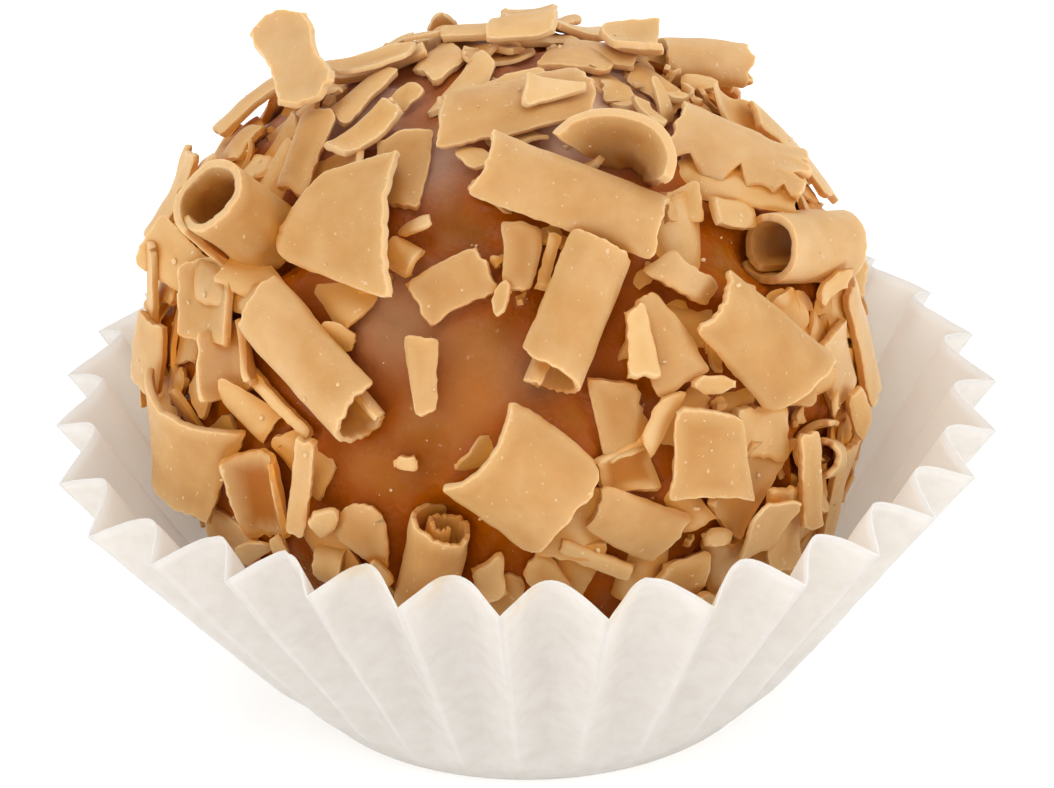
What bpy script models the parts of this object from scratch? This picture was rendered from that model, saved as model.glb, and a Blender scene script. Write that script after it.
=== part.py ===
"""Brigadeiro: a soft fudge ball rolled in milk-chocolate curls, sitting in a
fluted paper case.

Frame: +Z up, origin under the middle of the case, on the surface that the
flat base of the case stands on.  Sizes below are in millimetres and are
turned into metres by MM where a mesh is made.
"""

import math

import bmesh
import bpy
from mathutils import Vector
from mathutils.bvhtree import BVHTree

MM = 0.001

# ---------------------------------------------------------------- paper case
FLUTES = 30
PAPER = 0.28            # modelled thickness of the paper wall
BASE_RADIUS = 12.2      # outer creases leave the flat base here
FOLD_BASE_RADIUS = 11.8  # inner folds leave it a little further in
BASE_FLAT_RADIUS = 11.5  # edge of the flat base
SLANT = 18.9            # length of the wall, from base to rim
CREASE_FLARE = 36.8     # degrees off vertical, outer creases
FOLD_FLARE = 30.8       # degrees off vertical, inner folds
FIRST_CREASE = 170.7    # degrees
PLEAT_DRIFT = 1.2       # uneven pleating: creases wander by this many degrees
CASE_SHIFT = (0.06, -0.36)  # puts the box of the uneven rim on the origin
WALL_ROWS = (0.02, 0.35, 0.68, 1.0)
# (direction, half width, extra flare): where the rim is pressed out or in
FLARE_BUMPS = ((206, 21, 4.3), (255, 28, -2.2), (320, 45, 0.9), (95, 40, 1.5))

# --------------------------------------------------------------- fudge ball
BALL_OFFSET = -0.9      # the ball sits a little to one side in its case
BALL_CENTRE = (CASE_SHIFT[0] + BALL_OFFSET, CASE_SHIFT[1], 17.2)
COAT_RADIUS = 17.3      # surface that the curls are measured from
COAT_HALF_HEIGHT = 16.4
CORE_RADIUS = 16.5      # solid fudge, under the curls
CORE_HALF_HEIGHT = 15.6
CORE_LOWER_HALF = 16.9  # it sags on to its foot
CORE_FOOT_Z = 0.62
CORE_LUMP = 0.16
DENT_REACH = 1.9        # how far past a sunken roll its dent spreads
DENT_CLEAR = 0.5

# ------------------------------------------------------------------- curls
SHEET = 0.55            # thickness of a shaving
CLEAR = 0.14            # half of the gap kept between two pieces
LIFT_STEP = 0.15        # how far a curl may move to find room
LIFT_STEPS = 24
SLIDE_STEP = 0.3
SLIDE_RINGS = 5
TRIMS = (1.0, 0.9, 0.8)
OVER_CORE = 0.25        # least distance from the fudge
SEGMENT = 24.0          # degrees of bend for one facet

COLOURS = {
    "paper": (0.85, 0.84, 0.81, 1.0),
    "fudge": (0.36, 0.14, 0.045, 1.0),
    "curl": (0.78, 0.47, 0.20, 1.0),
}
ROUGHNESS = {"paper": 0.85, "fudge": 0.32, "curl": 0.55}


def clear_scene():
    for obj in list(bpy.data.objects):
        bpy.data.objects.remove(obj, do_unlink=True)
    for old in list(bpy.data.collections):
        bpy.data.collections.remove(old)


def material(kind):
    found = bpy.data.materials.get(kind)
    if found:
        return found
    made = bpy.data.materials.new(kind)
    made.use_nodes = True
    shader = made.node_tree.nodes["Principled BSDF"]
    shader.inputs["Base Color"].default_value = COLOURS[kind]
    shader.inputs["Roughness"].default_value = ROUGHNESS[kind]
    shader.inputs["Metallic"].default_value = 0.0
    return made


def add_object(name, mesh_bm, kind, collection):
    mesh = bpy.data.meshes.new(name)
    mesh_bm.to_mesh(mesh)
    mesh_bm.free()
    mesh.materials.append(material(kind))
    obj = bpy.data.objects.new(name, mesh)
    collection.objects.link(obj)
    return obj


# ---------------------------------------------------------------- the case
def bump(angle, centre, half_width):
    """A smooth hump, 1 at centre and 0 a few half widths away."""
    away = (angle - centre + 180.0) % 360.0 - 180.0
    return math.exp(-((away / half_width) ** 2) * 1.4)


def case_point(flute, row):
    """A point of the pleated wall: flute counts pleats, row runs 0 to 1."""
    angle = FIRST_CREASE + 360.0 * flute / FLUTES
    angle += PLEAT_DRIFT * math.sin(math.radians(4.0 * (angle - 276.0)))
    away = abs((flute + 0.5) % 1.0 - 0.5) * 2.0     # 0 on a crease, 1 on a fold
    extra = sum(size * bump(angle, at, half) for at, half, size in FLARE_BUMPS)
    flare = math.radians(CREASE_FLARE + (FOLD_FLARE - CREASE_FLARE) * away + extra)
    start = BASE_RADIUS + (FOLD_BASE_RADIUS - BASE_RADIUS) * away
    radius = start + SLANT * row * math.sin(flare)
    turn = math.radians(angle)
    return Vector((
        radius * math.cos(turn) + CASE_SHIFT[0],
        radius * math.sin(turn) + CASE_SHIFT[1],
        SLANT * row * math.cos(flare),
    ))


def make_case(collection):
    """The flat base is a disc whose edge is extruded up, ring by ring."""
    columns = FLUTES * 4
    bm = bmesh.new()
    bmesh.ops.create_circle(bm, cap_ends=True, segments=columns, radius=BASE_FLAT_RADIUS)
    ring = list(bm.verts)
    for i, vert in enumerate(ring):
        turn = math.radians(FIRST_CREASE + 360.0 * i / columns)
        vert.co = Vector((
            BASE_FLAT_RADIUS * math.cos(turn) + CASE_SHIFT[0],
            BASE_FLAT_RADIUS * math.sin(turn) + CASE_SHIFT[1],
            0.0,
        ))
    edges = list(bm.edges)
    for row in WALL_ROWS:
        column = {vert: i for i, vert in enumerate(ring)}
        made = bmesh.ops.extrude_edge_only(bm, edges=edges)["geom"]
        fresh = {g for g in made if isinstance(g, bmesh.types.BMVert)}
        raised = {}
        for vert in fresh:
            below = next(e.other_vert(vert) for e in vert.link_edges
                         if e.other_vert(vert) in column)
            raised[vert] = column[below]
        for vert, i in raised.items():
            vert.co = case_point(i / 4.0, row)
        ring = sorted(raised, key=raised.get)
        edges = [g for g in made if isinstance(g, bmesh.types.BMEdge)
                 and g.verts[0] in raised and g.verts[1] in raised]
    bmesh.ops.recalc_face_normals(bm, faces=bm.faces)
    floor = min(bm.faces, key=lambda f: f.calc_center_median().z)
    if floor.normal.z > 0:
        bmesh.ops.reverse_faces(bm, faces=bm.faces)
    bmesh.ops.scale(bm, vec=(MM, MM, MM), verts=bm.verts)
    case = add_object("paper_case", bm, "paper", collection)
    wall = case.modifiers.new("paper", "SOLIDIFY")
    wall.thickness = PAPER * MM
    wall.offset = -1.0
    wall.use_even_offset = True
    wall.thickness_clamp = 0.0
    return case


# ---------------------------------------------------------------- the ball
def is_roll(c):
    return c["sheet"] / c["bend"] > math.pi * 1.2


def dent_depth(rows, d, radius):
    """The radius left in direction d once every sunken roll has its bed."""
    for c in rows:
        if not is_roll(c):
            continue
        along, _, up = curl_axes(c)
        out = direction(c["lon"], c["lat"])
        axis = out * (coat_radius(out) + c["rise"]) - up * c["bend"]
        u = max(-0.5, min(0.5, (d * radius - axis).dot(along) / c["width"])) * c["width"]
        near = axis + along * u
        beside = (d * near.dot(d) - near).length
        if beside < c["bend"] + DENT_REACH and near.dot(d) > 0:
            radius = min(radius, near.length - c["bend"] - DENT_CLEAR)
    return radius


def make_core(collection, rows):
    """An icosphere, lumpy, a little fuller below, flat where it sits, with a
    shallow bed pressed into it under each roll."""
    bm = bmesh.new()
    bmesh.ops.create_icosphere(bm, subdivisions=4, radius=1.0)
    for vert in bm.verts:
        d = vert.co.normalized()
        lump = 1.0 + CORE_LUMP / CORE_RADIUS * (
            math.sin(5.0 * d.x + 1.3) + math.sin(6.0 * d.y + 0.4) + math.sin(5.5 * d.z + 2.0)
        ) / 2.0
        tall = CORE_HALF_HEIGHT if d.z > 0 else CORE_LOWER_HALF
        point = Vector((CORE_RADIUS * d.x, CORE_RADIUS * d.y, tall * d.z)) * lump
        out = point.normalized()
        point = Vector(BALL_CENTRE) + out * dent_depth(rows, out, point.length)
        vert.co = Vector((point.x, point.y, max(CORE_FOOT_Z, point.z)))
    bmesh.ops.scale(bm, vec=(MM, MM, MM), verts=bm.verts)
    core = add_object("fudge_ball", bm, "fudge", collection)
    core.data.shade_smooth()
    return core


# --------------------------------------------------------------- the curls
def direction(lon, lat):
    lon, lat = math.radians(lon), math.radians(lat)
    return Vector((math.cos(lat) * math.cos(lon), math.cos(lat) * math.sin(lon), math.sin(lat)))


def coat_radius(d):
    return 1.0 / math.sqrt(
        (d.x * d.x + d.y * d.y) / COAT_RADIUS ** 2 + d.z * d.z / COAT_HALF_HEIGHT ** 2
    )


def curl_axes(c):
    """Along the curl's own axis, across it, and out from the ball."""
    out = direction(c["lon"], c["lat"])
    lon = math.radians(c["lon"])
    east = Vector((-math.sin(lon), math.cos(lon), 0.0))
    north = out.cross(east)
    head = math.radians(c["head"])
    along = east * math.cos(head) + north * math.sin(head)
    pitch = math.radians(c.get("pitch", 0.0))
    along, up = (along * math.cos(pitch) + out * math.sin(pitch),
                 out * math.cos(pitch) - along * math.sin(pitch))
    across = up.cross(along)
    lean = math.radians(c.get("lean", 0.0))
    across, up = (across * math.cos(lean) + up * math.sin(lean),
                  up * math.cos(lean) - across * math.sin(lean))
    return along, across, up


def curl_point(c, p, q):
    """p runs across the bend and q along the axis, both -0.5 to 0.5."""
    bend = c["bend"]
    width = c["width"] * (1.0 + 2.0 * c.get("taper", 0.0) * p)
    sheet = c["sheet"] * (1.0 + 2.0 * c.get("fan", 0.0) * q)
    u = q * width + c.get("skew", 0.0) * p
    turn = p * sheet / bend + math.radians(c.get("start", 0.0))
    coil = c.get("coil", 0.0)
    turns_in = (p + 0.5 if coil > 0 else 0.5 - p) * c["sheet"] / abs(bend) / (2.0 * math.pi)
    full = bend * (1.0 + 2.0 * c.get("cone", 0.0) * q)
    radius = full - abs(coil) * turns_in * full / bend
    return u, radius * math.sin(turn), radius * math.cos(turn) - full


def curl_bmesh(c):
    """A flat grid, one facet wide, rolled round its axis."""
    facets = max(3, round(math.degrees(c["sheet"] / abs(c["bend"])) / SEGMENT))
    bm = bmesh.new()
    bmesh.ops.create_grid(bm, x_segments=facets, y_segments=1, size=0.5)
    along, across, up = curl_axes(c)
    out = direction(c["lon"], c["lat"])
    crest = Vector(BALL_CENTRE) + out * (coat_radius(out) + c["rise"])
    for vert in bm.verts:
        u, v, w = curl_point(c, vert.co.x, vert.co.y)
        vert.co = crest + along * u + across * v + up * w
    bmesh.ops.reverse_faces(bm, faces=bm.faces)
    bm.normal_update()
    return bm, out


def thickened(bm, thickness):
    """The closed body that Solidify makes, as points and faces, in mm."""
    bm.verts.index_update()
    outer = [v.co.copy() for v in bm.verts]
    inner = [v.co - v.normal * thickness for v in bm.verts]
    extra = [v.normal * CLEAR for v in bm.verts]
    count = len(outer)
    points = [p + e for p, e in zip(outer, extra)] + [p - e for p, e in zip(inner, extra)]
    faces = []
    for face in bm.faces:
        loop = [v.index for v in face.verts]
        faces.append(loop)
        faces.append([i + count for i in reversed(loop)])
    for edge in bm.edges:
        if edge.is_boundary:
            a, b = edge.verts[0].index, edge.verts[1].index
            faces.append([a, b, b + count, a + count])
    return points, faces


def above(tree, points):
    """True when every point is outside the closed mesh of the tree."""
    for point in points:
        near, normal, _, _ = tree.find_nearest(point)
        if (point - near).dot(normal) < OVER_CORE:
            return False
    return True


def places():
    """Ways to settle a curl, the smallest change first: lifted off the ball,
    slid sideways over it, or trimmed."""
    found = []
    for trim in TRIMS:
        for ring in range(SLIDE_RINGS + 1):
            for k in range(8 if ring else 1):
                for step in range(LIFT_STEPS):
                    lift, slide = LIFT_STEP * step, SLIDE_STEP * ring
                    cost = 1.3 * lift + slide + 5.0 * (1.0 - trim)
                    found.append((cost, lift, slide, math.radians(45.0 * k), trim))
    return sorted(found)


def settle(c, ways, laid, core_tree, case_tree):
    """The first way that leaves the curl clear of everything already laid."""
    for _, lift, slide, turn, trim in ways:
        if trim < 1.0 and is_roll(c):
            continue
        bm, out = curl_bmesh(dict(c, width=c["width"] * trim, sheet=c["sheet"] * trim))
        along, across, _ = curl_axes(dict(c, pitch=0.0, lean=0.0))
        move = out * lift + (along * math.cos(turn) + across * math.sin(turn)) * slide
        for vert in bm.verts:
            vert.co += move
        points, faces = thickened(bm, SHEET)
        middle = sum(points, Vector()) / len(points)
        points = [p + (p - middle).normalized() * CLEAR for p in points]
        reach = max((p - middle).length for p in points)
        tree = BVHTree.FromPolygons(points, faces)
        free = not any((middle - m).length < reach + r and tree.overlap(t)
                       for t, m, r in laid)
        if (free and not tree.overlap(core_tree) and above(core_tree, points)
                and not tree.overlap(case_tree)):
            laid.append((tree, middle, reach))
            return bm
        bm.free()
    return None


def make_curl(c, ways, laid, core_tree, case_tree, collection):
    bm = settle(c, ways, laid, core_tree, case_tree)
    if bm is None:
        raise RuntimeError("no room on the ball for " + c["name"])
    middle = sum((v.co for v in bm.verts), Vector()) / len(bm.verts)
    for vert in bm.verts:
        vert.co -= middle
    bmesh.ops.scale(bm, vec=(MM, MM, MM), verts=bm.verts)
    obj = add_object(c["name"], bm, "curl", collection)
    obj.location = middle * MM
    wall = obj.modifiers.new("sheet", "SOLIDIFY")
    wall.thickness = SHEET * MM
    wall.offset = -1.0
    wall.thickness_clamp = 0.0
    obj.data.shade_smooth()
    return obj


def curl(name, lon, lat, head, width, sheet, bend, rise, **more):
    """One shaving.  lon, lat: where its crest sits on the ball, degrees.
    head: direction of its axis, degrees from east towards north.  width: mm
    along that axis.  sheet: mm round the bend.  bend: radius of the bend,
    negative when the hollow side faces out.  rise: crest above the coat.
    pitch, lean: tilt along and about the axis.  skew, taper, fan: how the cut
    sheet differs from a rectangle.  start, coil: where a roll begins, and
    how much its radius shrinks each turn.  cone: how much wider the bend is
    at one end of the axis."""
    return dict(name=name, lon=lon, lat=lat, head=head, width=width,
                sheet=sheet, bend=bend, rise=rise, **more)


CURLS = [
    # crown and upper left
    curl("curl_crown_slab", 278, 74.5, 8, 7.4, 3.8, 4.5, 1.6, skew=0.9, taper=-0.1, fan=-0.07),
    curl("curl_half_pipe", 287, 53.5, -32.5, 9.5, 4.4, 2.6, 2.4),
    curl("curl_arch", 316.8, 60.5, 149.7, 5.2, 6.9, 2.5, 1.3, pitch=63.5, lean=65.5,
         start=17, coil=1.36, cone=0.6),
    curl("curl_torn_roll", 342.5, 48.2, -77.2, 7.0, 4.6, 3.0, 1.7, pitch=18.6, lean=12.5,
         taper=-0.12, fan=-0.22),
    curl("curl_crown_back", 62, 62, -100, 5.2, 2.4, 4.0, 1.2, skew=0.7),
    curl("curl_crown_flat", 18, 76, -102, 3.6, 2.8, 4.0, 0.8, skew=1.0),
    curl("curl_crown_cup", 22, 67, -85, 3.0, 3.2, -2.5, 1.4, skew=1.1, taper=0.25, fan=0.3),
    curl("curl_wavy", 178, 58.9, 8, 6.3, 3.6, -4.0, 2.2, pitch=-25, skew=1.0, fan=0.12),
    curl("curl_lozenge", 201, 51.5, -48, 4.7, 2.6, 1.9, 1.4, skew=0.7, taper=0.1),
    curl("curl_crown_strip", 155, 67, 109, 4.9, 1.8, 3.0, 1.0, skew=-0.5),
    curl("curl_upper_slab", 234, 59.5, -64, 4.2, 2.7, 4.0, 0.7, skew=0.2, taper=0.15, fan=-0.15),
    curl("curl_fan", 229.5, 47, 12.5, 5.5, 6.6, 8.0, 1.8, pitch=6, skew=-0.6, taper=-0.38, fan=0.3),
    curl("curl_left_tube", 207.3, 32.9, 75.4, 4.9, 13.6, 2.3, 2.65, pitch=76.5, start=175, coil=0.55),
    curl("curl_left_slab", 184, 24, -68, 4.6, 3.0, 5.0, 1.2),
    curl("curl_ridge_slab", 213.5, 32.5, 8, 5.6, 1.9, 3.0, 1.2, taper=0.15, fan=-0.15),
    # right shoulder
    curl("curl_shoulder_tube", 31.3, 50.8, -108.3, 4.8, 8.6, 1.45, 2.6, pitch=24, lean=3.6, start=60,
         coil=0.4, cone=-0.12),
    curl("curl_shoulder_slab", 6, 36, -82, 6.9, 2.4, 5.0, 1.4, skew=1.0, taper=0.2),
    curl("curl_right_roll", 340.2, 30.3, -27.7, 5.9, 12.6, 2.05, 3.0, pitch=7.6, start=27, coil=0.6),
    # left face
    curl("curl_big_roll", 234.7, 24, -29, 7.8, 11.9, 1.9, 2.6, start=-110, coil=-0.9),
    curl("curl_left_cup", 217, 20, -48, 3.3, 3.2, -1.8, 0.9, skew=0.4, fan=0.2),
    curl("curl_left_bend", 206, 26, -60, 4.4, 4.6, -4.5, 0.9, taper=0.2),
    curl("curl_left_edge", 192, 10, -85, 3.8, 3.0, 4.0, 1.8, lean=-15),
    curl("curl_low_left", 212, -3, -95, 5.4, 7.0, 5.5, 2.2, lean=-5, fan=-0.3),
    curl("curl_bent_chip", 255.5, 25.5, -80, 3.7, 1.5, 1.3, 1.2, taper=-0.07, fan=-0.25),
    # middle
    curl("curl_small_slab", 273, 44.5, -97.5, 3.7, 1.9, 2.0, 1.2, taper=-0.1, fan=-0.2),
    curl("curl_flat_chip", 258.5, 40, 32.5, 3.7, 2.5, 8.0, 0.6),
    curl("curl_middle_roll", 283.2, 34.6, -121.5, 6.6, 13.0, 1.9, 2.7, start=135, coil=0.9),
    curl("curl_diamond", 271.5, 10, -39.5, 5.7, 6.3, 4.0, 2.0),
    curl("curl_torn_slab", 289.5, 17.2, -83.5, 3.6, 2.7, 4.5, 0.7, skew=0.3, taper=-0.23),
    curl("curl_wedge", 298.5, 28, -78.5, 4.8, 2.4, 4.5, 1.2, fan=0.44),
    curl("curl_lit_band", 306.8, 36.2, -49, 3.4, 1.7, 3.0, 1.3, skew=0.6, taper=-0.1, fan=-0.1),
    # right face
    curl("curl_right_slab", 316.5, 22.5, -53.5, 7.2, 5.0, 3.0, 2.0, skew=1.4, taper=0.13, fan=0.15),
    curl("curl_flared_slab", 301, 9, -90.5, 4.7, 4.6, 5.0, 1.6, skew=1.5, fan=0.15),
    curl("curl_right_cup", 310.5, 1, -143.5, 4.4, 2.4, -2.6, 0.7, skew=-1.0, taper=0.2, fan=0.17),
    curl("curl_spiral", 331, -3, -30, 3.4, 17.5, 1.7, 2.3, pitch=-16, start=20, coil=0.85),
    curl("curl_edge_slab", 350, 10, -88, 6.4, 2.8, 5.0, 1.3),
    curl("curl_side_slab", 338, 8, -85, 3.6, 3.4, 5.0, 0.9),
    curl("curl_low_edge", 340, -14, -95, 5.4, 2.8, 5.0, 1.2),
    curl("curl_right_strip", 320.5, -1.5, -86, 5.4, 1.5, 3.0, 0.9, skew=0.5),
    # low front
    curl("curl_low_cup", 227.5, 0, -83, 4.7, 3.4, -2.8, 1.0, skew=-0.7, fan=-0.17),
    curl("curl_upright_strip", 237, 5.5, -96, 5.1, 1.1, 2.0, 1.8),
    curl("curl_petal", 246, -1, -25, 2.7, 2.5, 4.0, 1.0, skew=-0.6, taper=-0.23, fan=0.17),
    curl("curl_low_slab", 217, -13, -10, 4.2, 2.6, 5.0, 0.8),
    curl("curl_low_roll", 257.5, -6, -104.5, 4.9, 19.0, 1.9, 2.2, start=120, coil=0.85),
    curl("curl_low_half", 289, 0, -33.5, 4.8, 3.0, 3.0, 1.2, taper=0.1, fan=0.14),
    curl("curl_low_chip", 308, -14.5, -89, 3.3, 2.9, 3.0, 0.6, skew=0.6, fan=-0.3),
]

# the far side: rolls and slabs turn about, evenly spread
BACK_CURLS = 12
BACK_LON = (30.0, 165.0)
BACK_LAT = (-6.0, 47.0)
GOLDEN = 0.618034


def back_curls():
    rows = []
    for k in range(BACK_CURLS):
        across = (k * GOLDEN + 0.3) % 1.0
        up = (k + 0.5) / BACK_CURLS
        lon = BACK_LON[0] + (BACK_LON[1] - BACK_LON[0]) * across
        lat = BACK_LAT[0] + (BACK_LAT[1] - BACK_LAT[0]) * up
        head = (k * 67.0 + 20.0) % 180.0
        name = "curl_back_%02d" % (k + 1)
        if k % 3 == 1:
            rows.append(curl(name, lon, lat, head, 5.0 + 0.3 * (k % 4), 12.0, 1.8, 2.0,
                             start=40.0 * k, coil=0.9))
        else:
            rows.append(curl(name, lon, lat, head, 4.6 + 0.6 * (k % 4), 3.4 + 0.5 * (k % 3),
                             3.0 + k % 3, 1.2, skew=0.5 * (k % 3 - 1), fan=0.1 * (k % 3)))
    return rows


def tree_of(obj):
    bpy.context.view_layer.update()
    shape = obj.evaluated_get(bpy.context.evaluated_depsgraph_get()).to_mesh()
    return BVHTree.FromPolygons([v.co / MM for v in shape.vertices],
                                [list(p.vertices) for p in shape.polygons])


def main():
    clear_scene()
    parts = bpy.data.collections.new("brigadeiro")
    bpy.context.scene.collection.children.link(parts)
    # rolls find their beds first, then the slabs from the lowest up
    rows = sorted(CURLS, key=lambda c: (not is_roll(c), c["rise"] + 0.02 * c["lat"] / 90.0))
    rows += sorted(back_curls(), key=lambda c: (not is_roll(c), c["name"]))
    case = make_case(parts)
    core = make_core(parts, rows)
    case_tree = tree_of(case)
    core_tree = tree_of(core)
    whole = bpy.data.objects.new("brigadeiro_whole", None)
    parts.objects.link(whole)
    laid, ways = [], places()
    pieces = [case, core] + [make_curl(c, ways, laid, core_tree, case_tree, parts) for c in rows]
    for piece in pieces:
        piece.parent = whole


main()
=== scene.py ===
"""Brigadeiro: the look of a fudge ball rolled in milk-chocolate curls, in its
fluted paper case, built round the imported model.  Lengths in the tables are
in millimetres, angles in degrees."""

import math

import bmesh
import bpy
import numpy as np
from mathutils import Matrix, Vector
from mathutils.bvhtree import BVHTree


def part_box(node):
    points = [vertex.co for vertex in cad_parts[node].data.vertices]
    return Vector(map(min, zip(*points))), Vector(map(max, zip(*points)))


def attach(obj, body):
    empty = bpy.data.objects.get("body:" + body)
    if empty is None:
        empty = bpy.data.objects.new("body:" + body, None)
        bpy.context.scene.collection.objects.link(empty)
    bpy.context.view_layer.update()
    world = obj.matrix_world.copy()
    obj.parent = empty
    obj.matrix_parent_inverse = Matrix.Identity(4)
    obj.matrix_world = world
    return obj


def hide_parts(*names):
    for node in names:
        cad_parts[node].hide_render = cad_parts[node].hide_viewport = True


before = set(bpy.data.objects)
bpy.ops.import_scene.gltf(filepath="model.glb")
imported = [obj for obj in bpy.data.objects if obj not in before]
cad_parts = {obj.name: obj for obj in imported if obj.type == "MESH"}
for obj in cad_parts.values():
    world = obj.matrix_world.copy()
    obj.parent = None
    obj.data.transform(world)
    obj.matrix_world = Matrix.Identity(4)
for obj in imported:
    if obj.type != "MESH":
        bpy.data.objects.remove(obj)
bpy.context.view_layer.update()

MM = 0.001
RES = 0.145              # spacing of the points of a curl
SINK = 0.15              # how far curls are pressed into the soft fudge

# ------------------------------------------------------------ shared shape
core_low, core_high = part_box("fudge_ball")
case_low, case_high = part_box("paper_case")
CASE_SHIFT = np.array([0.06, -0.36])
BALL = np.array([CASE_SHIFT[0] - 0.9, CASE_SHIFT[1], 17.2])
COAT_RADIUS, COAT_HALF_HEIGHT = 17.3, 16.4


# ---------------------------------------------------------------- the noise
def mixed(ix, iy, iz, seed):
    """A hash of integer grid points, as floats from -1 to 1."""
    h = (ix.astype(np.int64) * 374761393 + iy.astype(np.int64) * 668265263
         + iz.astype(np.int64) * 2147483647 + seed * 974634777) & 0xFFFFFFFF
    h = ((h ^ (h >> 13)) * 1274126177) & 0xFFFFFFFF
    h = ((h ^ (h >> 16)) * 2246822519) & 0xFFFFFFFF
    return ((h ^ (h >> 15)) & 0xFFFFFF) / float(0x7FFFFF) - 1.0


def noise(points, size, seed=0):
    """Smooth noise, -1 to 1, whose blobs are about size across."""
    p = np.asarray(points, float) / size + 1000.0
    i = np.floor(p)
    f = p - i
    f = f * f * f * (f * (f * 6 - 15) + 10)
    i = i.astype(np.int64)
    total = 0.0
    for cx in (0, 1):
        for cy in (0, 1):
            for cz in (0, 1):
                w = ((f[..., 0] if cx else 1 - f[..., 0]) * (f[..., 1] if cy else 1 - f[..., 1])
                     * (f[..., 2] if cz else 1 - f[..., 2]))
                total = total + w * mixed(i[..., 0] + cx, i[..., 1] + cy, i[..., 2] + cz, seed)
    return total


def line_noise(t, size, seed=0):
    t = np.asarray(t, float)
    return noise(np.stack([t, np.full_like(t, 7.3), np.full_like(t, 2.1)], -1), size, seed)


def ragged(t, seed, amount):
    """A torn edge: slow wander, steps and fine teeth, in mm, mostly inward."""
    slow = line_noise(t, 1.9, seed) * 0.9
    mid = np.abs(line_noise(t, 0.75, seed + 1)) * -1.1 + 0.3
    fine = line_noise(t, 0.32, seed + 2) * 0.60
    return amount * (slow + mid + fine)


def smooth(x, low, high):
    x = np.clip((x - low) / (high - low), 0.0, 1.0)
    return x * x * (3 - 2 * x)


# ---------------------------------------------------------------- the curls
def direction(lon, lat):
    lon, lat = math.radians(lon), math.radians(lat)
    return np.array([math.cos(lat) * math.cos(lon), math.cos(lat) * math.sin(lon), math.sin(lat)])


def coat_radius(d):
    return 1.0 / np.sqrt((d[..., 0] ** 2 + d[..., 1] ** 2) / COAT_RADIUS ** 2
                         + d[..., 2] ** 2 / COAT_HALF_HEIGHT ** 2)


def curl_axes(c):
    out = direction(c["lon"], c["lat"])
    lon = math.radians(c["lon"])
    east = np.array([-math.sin(lon), math.cos(lon), 0.0])
    north = np.cross(out, east)
    head = math.radians(c["head"])
    along = east * math.cos(head) + north * math.sin(head)
    pitch = math.radians(c.get("pitch", 0.0))
    along, up = (along * math.cos(pitch) + out * math.sin(pitch),
                 out * math.cos(pitch) - along * math.sin(pitch))
    across = np.cross(up, along)
    lean = math.radians(c.get("lean", 0.0))
    across, up = (across * math.cos(lean) + up * math.sin(lean),
                  up * math.cos(lean) - across * math.sin(lean))
    return along, across, up, out


def crest_of(c):
    out = direction(c["lon"], c["lat"])
    return BALL + out * (coat_radius(out) + c["rise"])


def bent(c, p, q):
    """p, q in -0.5..0.5 to (u, v, w): along the axis, across it, and up."""
    bend = c["bend"]
    width = c["width"] * (1.0 + 2.0 * c.get("taper", 0.0) * p)
    sheet = c["sheet"] * (1.0 + 2.0 * c.get("fan", 0.0) * q)
    u = q * width + c.get("skew", 0.0) * p
    turn = p * sheet / bend + math.radians(c.get("start", 0.0))
    coil = c.get("coil", 0.0)
    turns = (p + 0.5 if coil > 0 else 0.5 - p) * c["sheet"] / abs(bend) / (2.0 * math.pi)
    full = bend * (1.0 + 2.0 * c.get("cone", 0.0) * q)
    radius = full - abs(coil) * turns * full / bend
    return u, radius * np.sin(turn), radius * np.cos(turn) - full


def is_roll(c):
    return c["sheet"] / c["bend"] > math.pi * 1.2


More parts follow.
